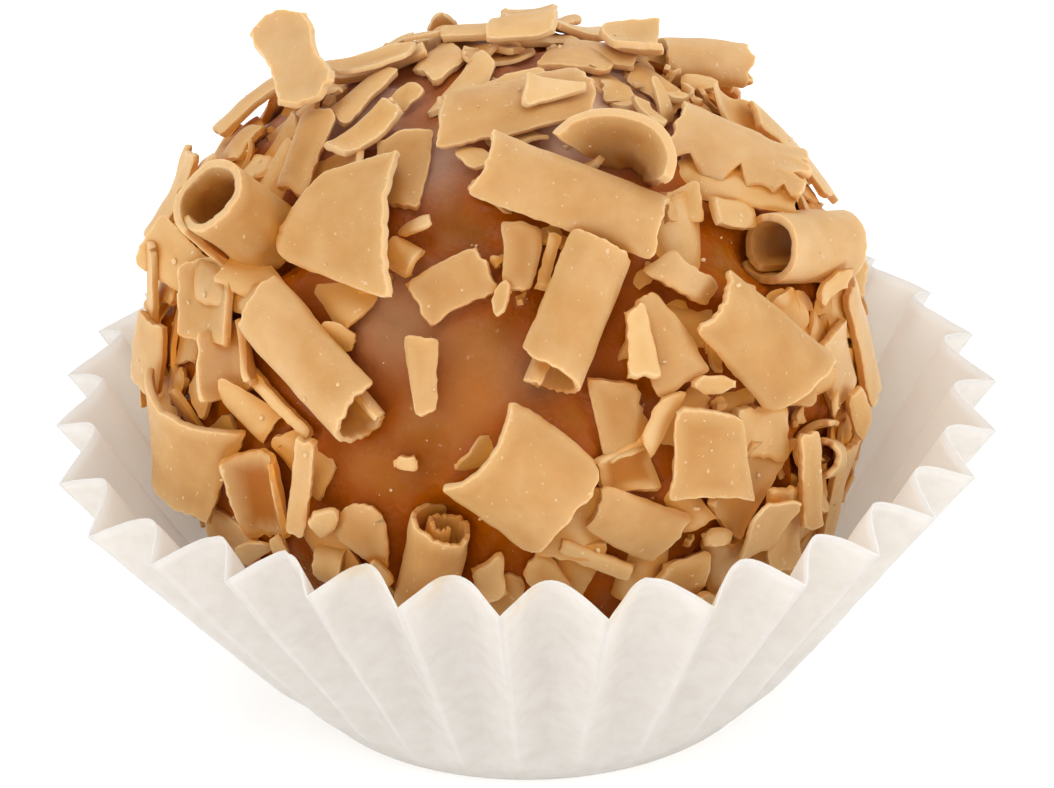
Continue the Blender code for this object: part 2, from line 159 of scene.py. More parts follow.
def curl_arrays(c, seed, res=RES):
    """Points, faces and the point attributes of one shaving, closed all round."""
    ns = max(5, int(math.ceil(c["sheet"] / res)))
    nw = max(5, int(math.ceil(c["width"] / res)))
    p, q = np.meshgrid(np.linspace(-0.5, 0.5, ns + 1), np.linspace(-0.5, 0.5, nw + 1), indexing="ij")
    a, b = p * c["sheet"], q * c["width"]
    half_a, half_b = c["sheet"] / 2.0, c["width"] / 2.0
    cut = c.get("cut", (0.0, 0.0, 0.0, 0.0))
    rag = c.get("rag", (0.08, 0.08, 0.15, 0.15))
    chip = c.get("chip", (0.10, 0.10, 0.10, 0.10))
    pull = c.get("pull", ((0, 0), (0, 0), (0, 0), (0, 0)))
    for (sa, sb), size, (da, db) in zip(((-1, -1), (-1, 1), (1, -1), (1, 1)), chip, pull):
        share = (0.5 + sa * p) * (0.5 + sb * q)
        near_corner = np.clip(1.0 - np.hypot((half_a - sa * p * c["sheet"]) / (size * 2.2 + 0.01),
                                             (half_b - sb * q * c["width"]) / (size * 2.2 + 0.01)), 0, 1)
        a = a + da * share ** 1.5 - sa * near_corner * size * 0.8
        b = b + db * share ** 1.5 - sb * near_corner * size * 0.8
    bow_p, bow_q = 1 - (2 * p) ** 2, 1 - (2 * q) ** 2
    near = [smooth(-2 * p, 0.1, 1.0), smooth(2 * p, 0.1, 1.0),
            smooth(-2 * q, 0.1, 1.0), smooth(2 * q, 0.1, 1.0)]
    a = a + near[1] * (cut[1] * bow_q + ragged(b, seed + 11, rag[1]))
    a = a - near[0] * (cut[0] * bow_q + ragged(b, seed + 23, rag[0]))
    b = b + near[3] * (cut[3] * bow_p + ragged(a, seed + 37, rag[3]))
    b = b - near[2] * (cut[2] * bow_p + ragged(a, seed + 41, rag[2]))
    for side, at, depth, half in c.get("bites", ()):
        if side < 2:
            a = a + near[side] * (1 - 2 * side) * depth * np.clip(1 - np.abs(b - at) / half, 0, 1) ** 0.8
        else:
            b = b + near[side] * (5 - 2 * side) * depth * np.clip(1 - np.abs(a - at) / half, 0, 1) ** 0.8
    u, v, w = bent(c, a / c["sheet"], b / c["width"])
    # the ends of a shaving curl over a little, and it can be twisted
    plain = 0.0 if is_roll(c) else 1.0
    some = mixed(np.array([seed, seed + 1, seed + 2]), np.array([1, 2, 3]), np.array([8, 8, 8]), 55) * plain
    w = w + c.get("dish", 0.22 * some[0]) * (2 * q) ** 2 + c.get("flick", 0.22 * max(some[1], 0)) * np.clip(2 * q, 0, 2) ** 3 \
        + c.get("flick_back", 0.22 * max(-some[1], 0)) * np.clip(-2 * q, 0, 2) ** 3
    twist = np.radians(c.get("twist", 7.0 * some[2])) * q
    v, w = v * np.cos(twist) - w * np.sin(twist), v * np.sin(twist) + w * np.cos(twist)
    flat = np.stack([a + seed * 3.1, b, np.full_like(a, seed * 1.7)], -1)
    wave = c.get("wave", 0.10)
    local = np.stack([u, v, w], -1)
    du, dv = np.gradient(local, axis=0), np.gradient(local, axis=1)
    normal = np.cross(dv, du)
    normal /= np.linalg.norm(normal, axis=-1, keepdims=True) + 1e-12
    local = local + normal * (wave * noise(flat, 2.2, seed) + 0.03 * noise(flat, 0.8, seed + 5))[..., None]
    # distance from the edge of the sheet, in mm
    edge = np.minimum(half_a - np.abs(p) * c["sheet"], half_b - np.abs(q) * c["width"])
    thick = c.get("thick", 0.54)
    thick = thick * (1.0 + 0.16 * noise(flat, 1.6, seed + 9)) * (0.78 + 0.22 * smooth(edge, 0.0, 0.9))
    round_off = 0.08 * np.exp(-edge / 0.09)
    outer = local - normal * (thick * round_off)[..., None]
    inner = local - normal * (thick * (1.0 - round_off))[..., None]
    along, across, up, out = curl_axes(c)
    base = crest_of(c)
    basis = np.stack([along, across, up])
    outer, inner = base + outer @ basis, base + inner @ basis
    rows, cols = ns + 1, nw + 1
    index = np.arange(rows * cols).reshape(rows, cols)
    quads = np.stack([index[:-1, :-1], index[:-1, 1:], index[1:, 1:], index[1:, :-1]], -1).reshape(-1, 4)
    count = rows * cols
    ring = np.concatenate([index[0, :-1], index[:-1, -1], index[-1, :0:-1], index[:0:-1, 0]])
    inset = np.clip(np.arange(rows), 1, rows - 2)[:, None], np.clip(np.arange(cols), 1, cols - 2)[None, :]
    back = index[inset].reshape(-1)[ring]
    outer_flat, inner_flat = outer.reshape(-1, 3), inner.reshape(-1, 3)
    middle = (outer_flat[ring] + inner_flat[ring]) / 2.0
    push = middle - (outer_flat[back] + inner_flat[back]) / 2.0
    push /= np.linalg.norm(push, axis=1, keepdims=True) + 1e-9
    depth = np.linalg.norm(outer_flat[ring] - inner_flat[ring], axis=1, keepdims=True)
    bite = noise(np.stack([flat.reshape(-1, 3)[ring, 0], flat.reshape(-1, 3)[ring, 1],
                           np.full(len(ring), 3.0)], -1), 0.4, seed + 51)[:, None]
    middle = middle + push * depth * (0.08 + 0.12 * bite)
    points = np.concatenate([outer_flat, inner_flat, middle])
    mid_index = 2 * count + np.arange(len(ring))
    nxt = np.roll(np.arange(len(ring)), -1)
    wall_one = np.stack([ring, mid_index, mid_index[nxt], ring[nxt]], -1)
    wall_two = np.stack([mid_index, ring + count, ring[nxt] + count, mid_index[nxt]], -1)
    faces = np.concatenate([quads, quads[:, ::-1] + count, wall_one, wall_two])
    edge = np.clip(edge, 0.0, 5.0).reshape(-1)
    edge = np.concatenate([edge, edge, np.full(len(ring), -0.1)])
    under = np.concatenate([np.zeros(count), np.ones(count), np.full(len(ring), 0.3)])
    grain = np.concatenate([flat.reshape(-1, 3), flat.reshape(-1, 3) + 5.0, flat.reshape(-1, 3)[ring]])
    # faces point outwards when the enclosed volume is positive
    centre = points.mean(0)
    volume = 0.0
    for corners in ((0, 1, 2), (0, 2, 3)):
        tri = points[faces[:, corners]] - centre
        volume += np.einsum("ij,ij->i", tri[:, 0], np.cross(tri[:, 1], tri[:, 2])).sum()
    if volume < 0:
        faces = faces[:, ::-1]
    return points, faces, edge, under, grain


def curl(name, lon, lat, head, width, sheet, bend, rise, **more):
    """One shaving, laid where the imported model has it.  lon, lat: its crest.
    head: direction of its axis, from east towards north.  width: along that
    axis.  sheet: round the bend.  bend: radius, negative when the hollow side
    faces out.  rise: crest above the coat.  cut: how far each edge bows out.
    rag: how torn each edge is.  chip: size of each broken corner."""
    return dict(name=name, lon=lon, lat=lat, head=head, width=width,
                sheet=sheet, bend=bend, rise=rise, **more)


# tone in these rows: partly the shaving's own lighter or darker colour, partly painted shade on shavings that lie in
# shade
CURLS = [
    # crown and upper left
    curl("curl_crown_slab", 278, 74.5, 8, 7.4, 3.8, 4.5, 1.6, skew=0.9, taper=-0.1, fan=-0.07, cut=(0.1, 0, 0.1, 0.3), paler=-0.10),
    curl("curl_half_pipe", 287, 53.5, -32.5, 9.5, 4.4, 2.6, 2.4, cut=(0, 0, -0.35, -0.15), rag=(0.05, 0.05, 0.14, 0.26), thick=0.5, paler=-0.20),
    curl("curl_arch", 316.8, 60.5, 149.7, 5.2, 6.9, 2.5, 1.3, pitch=63.5, lean=65.5, start=17, coil=1.36, cone=0.6, own=True, dish=0, twist=0, flick=0, flick_back=0, rag=(0.1, 0.1, 0.1, 0.08), thick=0.66, tone=0.35, deep=0.1),
    curl("curl_torn_roll", 342.5, 48.2, -77.2, 7.0, 4.6, 3.0, 1.7, pitch=18.6, lean=12.5, taper=-0.12, fan=-0.22, rag=(0.25, 0.12, 0.2, 0.3), bites=((0, -2.2, 0.9, 1.0), (0, 0.2, 1.2, 0.55), (0, 1.2, 0.35, 0.7), (0, 2.3, 0.75, 0.35), (3, -0.8, 0.6, 0.5), (3, 0.5, 0.5, 0.4)), own=True, tone=0.9),
    curl("curl_crown_back", 62, 62, -100, 5.2, 2.4, 4.0, 1.2, skew=0.7, tone=0.9),
    curl("curl_crown_flat", 18, 76, -102, 3.6, 2.8, 4.0, 0.8, skew=1.0),
    curl("curl_crown_cup", 22, 67, -85, 3.0, 3.2, -2.5, 1.4, skew=1.1, taper=0.25, fan=0.3, tone=0.9),
    curl("curl_wavy", 178, 58.9, 8, 6.3, 3.6, -4.0, 2.2, pitch=-25, skew=1.0, fan=0.12, wave=0.3, cut=(-0.6, -0.45, 0.45, 0.1), chip=(0.5, 0.6, 0.5, 0.6), tone=1.0),
    curl("curl_lozenge", 201, 51.5, -48, 4.7, 2.6, 1.9, 1.4, skew=0.7, taper=0.1),
    curl("curl_crown_strip", 155, 67, 109, 4.9, 1.8, 3.0, 1.0, skew=-0.5, thick=0.55, tone=0.9),
    curl("curl_upper_slab", 234, 59.5, -64, 4.2, 2.7, 4.0, 0.7, skew=0.2, taper=0.15, fan=-0.15, cut=(0.2, 0, 0.2, 0)),
    curl("curl_fan", 229.5, 47, 12.5, 5.5, 6.6, 8.0, 1.8, pitch=6, skew=-0.6, taper=-0.38, fan=0.3, cut=(0, 0, 0.45, -0.15), rag=(0.05, 0.1, 0.12, 0.16), chip=(0.2, 0.15, 0.1, 0.1), tone=0.55),
    curl("curl_left_tube", 207.3, 32.9, 75.4, 4.9, 15.5, 2.3, 2.65, pitch=76.5, start=175, coil=0.55, thick=0.58, rag=(0.06, 0.06, 0.06, 0.08), own=True, tone=0.1, deep=0.60),
    curl("curl_left_slab", 184, 24, -68, 4.6, 3.0, 5.0, 1.2, tone=0.8, paler=0.20),
    curl("curl_ridge_slab", 213.5, 32.5, 8, 5.6, 1.9, 3.0, 1.2, taper=0.15, fan=-0.15),
    # right shoulder
    curl("curl_shoulder_tube", 31.3, 50.8, -108.3, 4.8, 9.5, 1.45, 2.6, pitch=24, lean=3.6, start=60, coil=0.4, cone=-0.12, own=True, rag=(0.2, 0.1, 0.1, 0.3), tone=0.9, deep=0.5),
    curl("curl_shoulder_slab", 6, 36, -82, 6.9, 2.4, 5.0, 1.4, skew=1.0, taper=0.2, tone=0.9),
    curl("curl_right_roll", 340.2, 30.3, -27.7, 5.9, 14.4, 2.05, 3.0, pitch=7.6, start=27, coil=0.60, thick=0.52, rag=(0.06, 0.06, 0.07, 0.1), own=True, tone=0.95, deep=0.75),
    # left face
    curl("curl_big_roll", 234.7, 24, -29, 7.8, 13.0, 1.95, 2.6, start=-110, coil=-0.9, skew=-1.2, cut=(0, 0, -0.15, 0.0), rag=(0.12, 0.06, 0.12, 0.16), thick=0.44, paler=-0.12),
    curl("curl_left_cup", 217, 20, -48, 3.5, 3.8, -1.6, 0.8, skew=0.4, fan=0.2, tone=0.8, deep=0.32),
    curl("curl_left_bend", 206, 26, -60, 4.4, 4.6, -4.5, 0.9, taper=0.2, own=True, tone=0.4),
    curl("curl_left_edge", 192, 10, -85, 3.8, 3.0, 4.0, 1.8, lean=-15, tone=0.8),
    curl("curl_low_left", 212, -3, -95, 5.4, 7.0, 5.5, 2.2, lean=-5, fan=-0.3, cut=(0.25, -0.1, -0.25, 0.1), rag=(0.1, 0.1, 0.14, 0.1), tone=0.55, paler=-0.12),
    curl("curl_bent_chip", 255.5, 25.5, -80, 3.7, 1.5, 1.3, 1.2, taper=-0.07, fan=-0.25, thick=0.5),
    # middle
    curl("curl_small_slab", 273, 44.5, -97.5, 3.7, 1.9, 2.0, 1.2, taper=-0.1, fan=-0.2, tone=0.1),
    curl("curl_flat_chip", 258.5, 40, 32.5, 3.7, 2.5, 8.0, 0.6, cut=(-0.2, 0.2, 0, 0), rag=(0.1, 0.1, 0.1, 0.15), tone=0.12, paler=0.06),
    curl("curl_middle_roll", 283.2, 34.6, -121.5, 6.6, 14.0, 1.95, 2.7, start=135, coil=0.9, skew=1.2, cut=(0, 0, 0.0, 0.1), rag=(0.1, 0.1, 0.14, 0.12), thick=0.44, paler=0.22),
    curl("curl_diamond", 271.5, 10, -39.5, 5.7, 6.3, 4.0, 2.0, cut=(0.1, 0.25, -0.75, 0.1), rag=(0.05, 0.06, 0.06, 0.12), chip=(0.15, 0.3, 0.1, 0.3), thick=0.5, tone=0.55),
    curl("curl_torn_slab", 289.5, 17.2, -83.5, 3.6, 2.7, 4.5, 0.7, skew=0.3, taper=-0.23, rag=(0.05, 0.3, 0.1, 0.22), tone=0.05, paler=0.10),
    curl("curl_wedge", 298.5, 28, -78.5, 4.8, 2.4, 4.5, 1.2, fan=0.44, tone=0.3, paler=0.18),
    curl("curl_lit_band", 306.8, 36.2, -49, 3.4, 1.7, 3.0, 1.3, skew=0.6, taper=-0.1, fan=-0.1, rag=(0.1, 0.22, 0.1, 0.1)),
    # right face
    curl("curl_right_slab", 316.5, 22.5, -53.5, 7.2, 5.0, 3.0, 2.0, skew=1.4, taper=0.13, fan=0.15, cut=(0, 0, -0.1, 0.2), rag=(0.06, 0.06, 0.2, 0.12), thick=0.5, paler=0.08),
    curl("curl_flared_slab", 301, 9, -90.5, 4.7, 4.6, 5.0, 1.6, skew=1.5, fan=0.15, cut=(-0.2, -0.1, 0.1, -0.45), rag=(0.06, 0.08, 0.08, 0.06), chip=(0.3, 0.1, 0.3, 0.05), tone=0.3),
    curl("curl_right_cup", 310.5, 1, -143.5, 4.8, 3.0, -2.0, 0.7, skew=-1.0, taper=0.2, fan=0.17),
    curl("curl_spiral", 331, -3, -30, 3.4, 17.5, 1.7, 2.3, pitch=-16, start=20, coil=0.85, thick=0.38, rag=(0.1, 0.1, 0.16, 0.1), tone=0.7),
    curl("curl_edge_slab", 350, 10, -88, 6.4, 2.8, 5.0, 1.3, tone=1.0),
    curl("curl_side_slab", 338, 8, -85, 3.6, 3.4, 5.0, 0.9, tone=0.9),
    curl("curl_low_edge", 340, -14, -95, 5.4, 2.8, 5.0, 1.2, tone=0.7),
    curl("curl_right_strip", 320.5, -1.5, -86, 5.4, 1.5, 3.0, 0.9, skew=0.5),
    # low front
    curl("curl_low_cup", 227.5, 0, -83, 4.7, 4.0, -1.9, 0.8, skew=-0.7, fan=-0.17, cut=(0, 0, 0.1, 0.3), deep=1.0, tone=0.4),
    curl("curl_upright_strip", 237, 5.5, -96, 5.1, 1.1, 2.0, 1.8, thick=0.6, tone=0.9, paler=-0.12),
    curl("curl_petal", 246, -1, -25, 2.7, 2.5, 4.0, 1.0, skew=-0.6, taper=-0.23, fan=0.17, cut=(0, 0.3, 0.1, 0.3), tone=0.2),
    curl("curl_low_slab", 217, -13, -10, 4.2, 2.6, 5.0, 0.8),
    curl("curl_low_roll", 257.5, -6, -104.5, 4.9, 19.0, 1.9, 2.2, start=120, coil=0.85, cut=(0, 0, -0.2, 0), rag=(0.1, 0.1, 0.22, 0.1), thick=0.36),
    curl("curl_low_half", 289, 0, -33.5, 4.8, 3.0, 3.0, 1.2, taper=0.1, fan=0.14, rag=(0.06, 0.06, 0.1, 0.2), tone=0.45),
    curl("curl_low_chip", 308, -14.5, -89, 3.3, 2.9, 3.0, 0.6, skew=0.6, fan=-0.3),
]

BACK_CURLS = 12
BACK_LON = (30.0, 165.0)
BACK_LAT = (-6.0, 47.0)
GOLDEN = 0.618034


def back_curls():
    rows = []
    for k in range(BACK_CURLS):
        across = (k * GOLDEN + 0.3) % 1.0
        up = (k + 0.5) / BACK_CURLS
        lon = BACK_LON[0] + (BACK_LON[1] - BACK_LON[0]) * across
        lat = BACK_LAT[0] + (BACK_LAT[1] - BACK_LAT[0]) * up
        head = (k * 67.0 + 20.0) % 180.0
        name = "curl_back_%02d" % (k + 1)
        if k % 3 == 1:
            rows.append(curl(name, lon, lat, head, 5.0 + 0.3 * (k % 4), 12.0, 1.8, 2.0,
                             start=40.0 * k, coil=0.9, thick=0.42))
        else:
            rows.append(curl(name, lon, lat, head, 4.6 + 0.6 * (k % 4), 3.4 + 0.5 * (k % 3),
                             3.0 + k % 3, 1.2, skew=0.5 * (k % 3 - 1), fan=0.1 * (k % 3)))
    return rows


# smaller shavings that lie between and under the named ones
# tone here too is partly the shaving's own colour and partly painted shade
LESSER = [
    curl("band", 185, 65.8, 128, 4.0, 2.0, 1.6, 0.9, taper=-0.14, fan=-0.17),
    curl("upper_chip", 214, 62.6, 88, 3.5, 1.9, 4.0, 0.6),
    curl("left_flat", 172, 42, 40, 3.2, 2.2, 3.0, 1.3),
    curl("left_spike", 188, 15, -80, 6.6, 1.4, 3.0, 1.5, pitch=-11, cut=(0.0, 0.0, 0.3, 0.0), tone=0.8),
    curl("left_shaving", 170, 34, 40, 4.6, 0.9, 3.0, 1.6),
    curl("crown_chip", 80, 82, -20, 1.7, 2.0, 3.0, 0.6, lean=22),
    curl("crown_flat_two", 152, 78, 175, 3.1, 2.7, 3.0, 0.6, skew=1.5),
    curl("shoulder_one", 108, 75.5, 140, 2.9, 2.4, 3.0, 1.0),
    curl("shoulder_two", 75, 74, -150, 2.0, 2.4, 3.0, 1.0),
    curl("torn_under", 351, 70, -70, 1.7, 2.3, 1.5, 0.6),
    curl("fan_chip", 318.4, 47.3, -10, 2.2, 1.9, 3.0, 0.6, skew=0.9, fan=0.2, rag=(0.1, 0.1, 0.2, 0.2)),
    curl("sliver_one", 279.4, 43.7, -110, 2.9, 0.7, 1.5, 0.8),
    curl("gap_chip", 329.7, 41.4, -31, 2.5, 1.5, 4.0, 0.6),
    curl("left_sliver", 228, 16, -24, 5.2, 0.8, 3.0, 0.6),
    curl("dark_chip", 293, 28.8, -94, 3.3, 1.4, 3.0, 0.6, taper=0.14, fan=0.25),
    curl("lens", 304.3, 19.6, -16, 2.8, 0.9, 3.0, 0.9, chip=(0.4, 0.4, 0.4, 0.4)),
    curl("behind_flare", 313.7, 8, -98.6, 2.7, 3.5, -5.0, 0.6, skew=0.8),
    curl("low_spiral", 239.5, -9.7, 0, 1.6, 8.0, 1.3, 1.3, start=100, coil=0.7, thick=0.3),
    curl("low_left_chip", 253, 11, 4, 1.3, 0.8, 3.0, 0.5, thick=0.6),
    curl("low_strip", 282.8, -5.5, -29.5, 4.2, 1.0, 2.0, 0.8),
    curl("low_one", 266.3, -8.7, -84, 2.2, 1.5, 3.0, 0.6, skew=-0.7, taper=0.2, fan=-0.2),
    curl("low_two", 275, -8.4, -61, 2.4, 1.7, 3.0, 0.6, taper=0.24),
    curl("low_cup_two", 289, 8.8, 8, 2.9, 2.4, -1.8, 0.2, fan=0.25, deep=0.9, tone=0.1),
    curl("low_three", 297.2, -11.9, -13, 2.8, 2.4, 2.0, 0.6, skew=0.4, taper=-0.2, fan=0.25),
    curl("low_right_one", 317.4, -9.2, -83, 4.8, 2.6, 4.0, 0.8, skew=1.1),
    curl("low_right_two", 303.8, -18.8, -33, 3.4, 1.2, 3.0, 0.6),
    curl("wing_under", 336.9, 44.8, -66.6, 6.2, 2.6, 2.5, 1.0, pitch=26.6, lean=12.2, fan=-0.1, bites=((3, 0.3, 0.6, 0.5),), tone=0.5),
    curl("limb_one", 173.6, 17.2, 107.1, 4.6, 2.6, 3.5, 1.3, pitch=4, lean=12, bites=((3, 0.2, 0.7, 0.6), (1, -1.0, 0.5, 0.6)), tone=0.9),
    curl("limb_two", 169.6, 26.6, 108.2, 5.0, 3.0, 3.5, 1.3, lean=10, bites=((3, 0.4, 0.8, 0.5), (0, 0.5, 0.5, 0.7)), tone=1.0),
    curl("limb_three", 164.3, 36.0, 115.8, 4.6, 2.8, 3.0, 1.2, pitch=-8, lean=10, bites=((2, 0.2, 0.6, 0.6),), tone=0.9),
    curl("limb_four", 157.9, 44.0, 119.1, 5.0, 2.6, 3.5, 0.9, pitch=-6, lean=8, tone=0.8),
    curl("pennant", 217.1, 32.5, -15.7, 4.6, 2.0, 3.0, 0.9, pitch=-25, lean=-25, fan=-0.35, tone=0.4),
    curl("under_tube", 190.4, 25.2, -1.7, 4.4, 2.6, 3.0, 1.3, pitch=-40, lean=-8.9, fan=-0.2, tone=0.6),
    curl("crown_flap", 299.5, 73.3, -30.0, 2.9, 1.5, 4.0, 2.05, pitch=9, fan=-0.75, thick=0.36, tone=1.0),
    curl("crown_one", 63.6, 82.7, -157.8, 3.4, 2.4, 3.0, 0.9, pitch=9.6, lean=9.7, tone=0.8),
    curl("crown_two", 25.3, 71.8, -124.7, 3.8, 2.2, 3.0, 0.9, pitch=11.2, lean=12.6, tone=0.8),
    curl("crown_four", 36.0, 52.0, -139.9, 3.6, 2.6, 3.0, 1.1, pitch=6.6, lean=20, bites=((1, 0.0, 0.6, 0.6),), tone=0.9),
    curl("right_limb_one", 347.0, 2.0, 80, 4.2, 2.6, 3.0, 0.5, bites=((0, 0.3, 0.6, 0.5),), tone=0.9),
    curl("right_limb_two", 347.0, 17.5, 66.2, 4.2, 2.6, 3.0, 0.7, pitch=6, lean=-5, bites=((0, -0.3, 0.6, 0.5),), tone=1.0),
    curl("second_sheet", 256, 72, 10, 3.4, 2.6, 4.0, 1.0),
    curl("small_curl", 246, 44, -20, 1.6, 3.0, 0.9, 1.0, start=20),
]

ROLLS = [c for c in CURLS + back_curls() if is_roll(c)]
SLABS = [c for c in CURLS + back_curls() + LESSER if not is_roll(c) and c["bend"] > 0]


# ------------------------------------------------------------ mesh building
def mesh_piece(name, points, faces, attributes, mat, crisp=None):
    mesh = bpy.data.meshes.new(name)
    mesh.from_pydata((points * MM).tolist(), [], faces if isinstance(faces, list) else faces.tolist())
    mesh.polygons.foreach_set("use_smooth", np.ones(len(mesh.polygons), bool))
    for key, values in attributes.items():
        values = np.asarray(values, np.float32)
        kind = "FLOAT_VECTOR" if values.ndim == 2 else "FLOAT"
        made = mesh.attributes.new(key, kind, "POINT")
        made.data.foreach_set("vector" if values.ndim == 2 else "value", values.ravel())
    mesh.materials.append(mat)
    mesh.update()
    if crisp:
        mesh.set_sharp_from_angle(angle=math.radians(crisp))
    obj = bpy.data.objects.new(name, mesh)
    bpy.context.scene.collection.objects.link(obj)
    return obj


class Body:
    """The numbers of one closed body before it becomes a mesh."""

    def __init__(self, points, faces, edge, under, grain, tone):
        self.points, self.faces, self.edge = points, faces, edge
        self.under, self.grain, self.tone = under, grain, np.full(len(points), tone)
        # painted shade and glow where a place is closed in among the shavings
        self.painted_cavity_shade = np.zeros(len(points))
        # painted shade down the hollow side of a cup or roll
        self.deep = np.zeros(len(points))      # shade down a hollow


def joined(bodies):
    starts = np.cumsum([0] + [len(b.points) for b in bodies[:-1]])
    whole = Body(np.concatenate([b.points for b in bodies]),
                 np.concatenate([b.faces + k for b, k in zip(bodies, starts)]),
                 np.concatenate([b.edge for b in bodies]), np.concatenate([b.under for b in bodies]),
                 np.concatenate([b.grain for b in bodies]), 0.0)
    whole.tone = np.concatenate([b.tone for b in bodies])
    whole.painted_cavity_shade = np.concatenate([b.painted_cavity_shade for b in bodies])
    whole.deep = np.concatenate([b.deep for b in bodies])
    return whole


def shaving(name, body, mat):
    return mesh_piece(name, body.points, body.faces, {
        "edge": body.edge, "under": body.under, "grain": body.grain,
        "tone": body.tone, "painted_cavity_shade": body.painted_cavity_shade, "deep": body.deep}, mat, crisp=52)


# ---------------------------------------------------------------- materials
def new_material(name):
    mat = bpy.data.materials.new(name)
    mat.use_nodes = True
    tree = mat.node_tree
    tree.nodes.clear()
    return mat, tree


class Nodes:
    def __init__(self, tree):
        self.tree = tree

    def add(self, kind, **inputs):
        node = self.tree.nodes.new(kind)
        for key, value in inputs.items():
            setattr(node, key, value)
        return node

    def link(self, a, b):
        self.tree.links.new(a, b)

    def attribute(self, name):
        return self.add("ShaderNodeAttribute", attribute_name=name)

    def math(self, op, a, b=None, clamp=False):
        node = self.add("ShaderNodeMath", operation=op, use_clamp=clamp)
        for i, value in enumerate((a, b)):
            if value is None:
                continue
            if isinstance(value, (int, float)):
                node.inputs[i].default_value = value
            else:
                self.link(value, node.inputs[i])
        return node.outputs[0]

    def noise(self, vector, scale, detail=2.0, rough=0.5):
        node = self.add("ShaderNodeTexNoise")
        node.inputs["Scale"].default_value = scale
        node.inputs["Detail"].default_value = detail
        node.inputs["Roughness"].default_value = rough
        self.link(vector, node.inputs["Vector"])
        return node.outputs["Fac"]

    def ramp(self, value, stops):
        node = self.add("ShaderNodeValToRGB")
        ramp = node.color_ramp
        while len(ramp.elements) > 1:
            ramp.elements.remove(ramp.elements[-1])
        ramp.elements[0].position, ramp.elements[0].color = stops[0][0], (*stops[0][1], 1)
        for at, colour in stops[1:]:
            ramp.elements.new(at).color = (*colour, 1)
        self.link(value, node.inputs[0])
        return node.outputs[0]

    def step(self, value, low, high, start=0.0, end=1.0):
        node = self.add("ShaderNodeMapRange", interpolation_type="SMOOTHSTEP")
        for key, number in (("From Min", low), ("From Max", high), ("To Min", start), ("To Max", end)):
            node.inputs[key].default_value = number
        self.link(value, node.inputs["Value"])
        return node.outputs[0]

    def mix(self, factor, a, b, mode="MIX"):
        node = self.add("ShaderNodeMix", data_type="RGBA", blend_type=mode)
        for socket, value in ((node.inputs[0], factor), (node.inputs[6], a), (node.inputs[7], b)):
            if isinstance(value, (int, float)):
                socket.default_value = value
            elif isinstance(value, tuple):
                socket.default_value = (*value, 1)
            else:
                self.link(value, socket)
        return node.outputs[2]


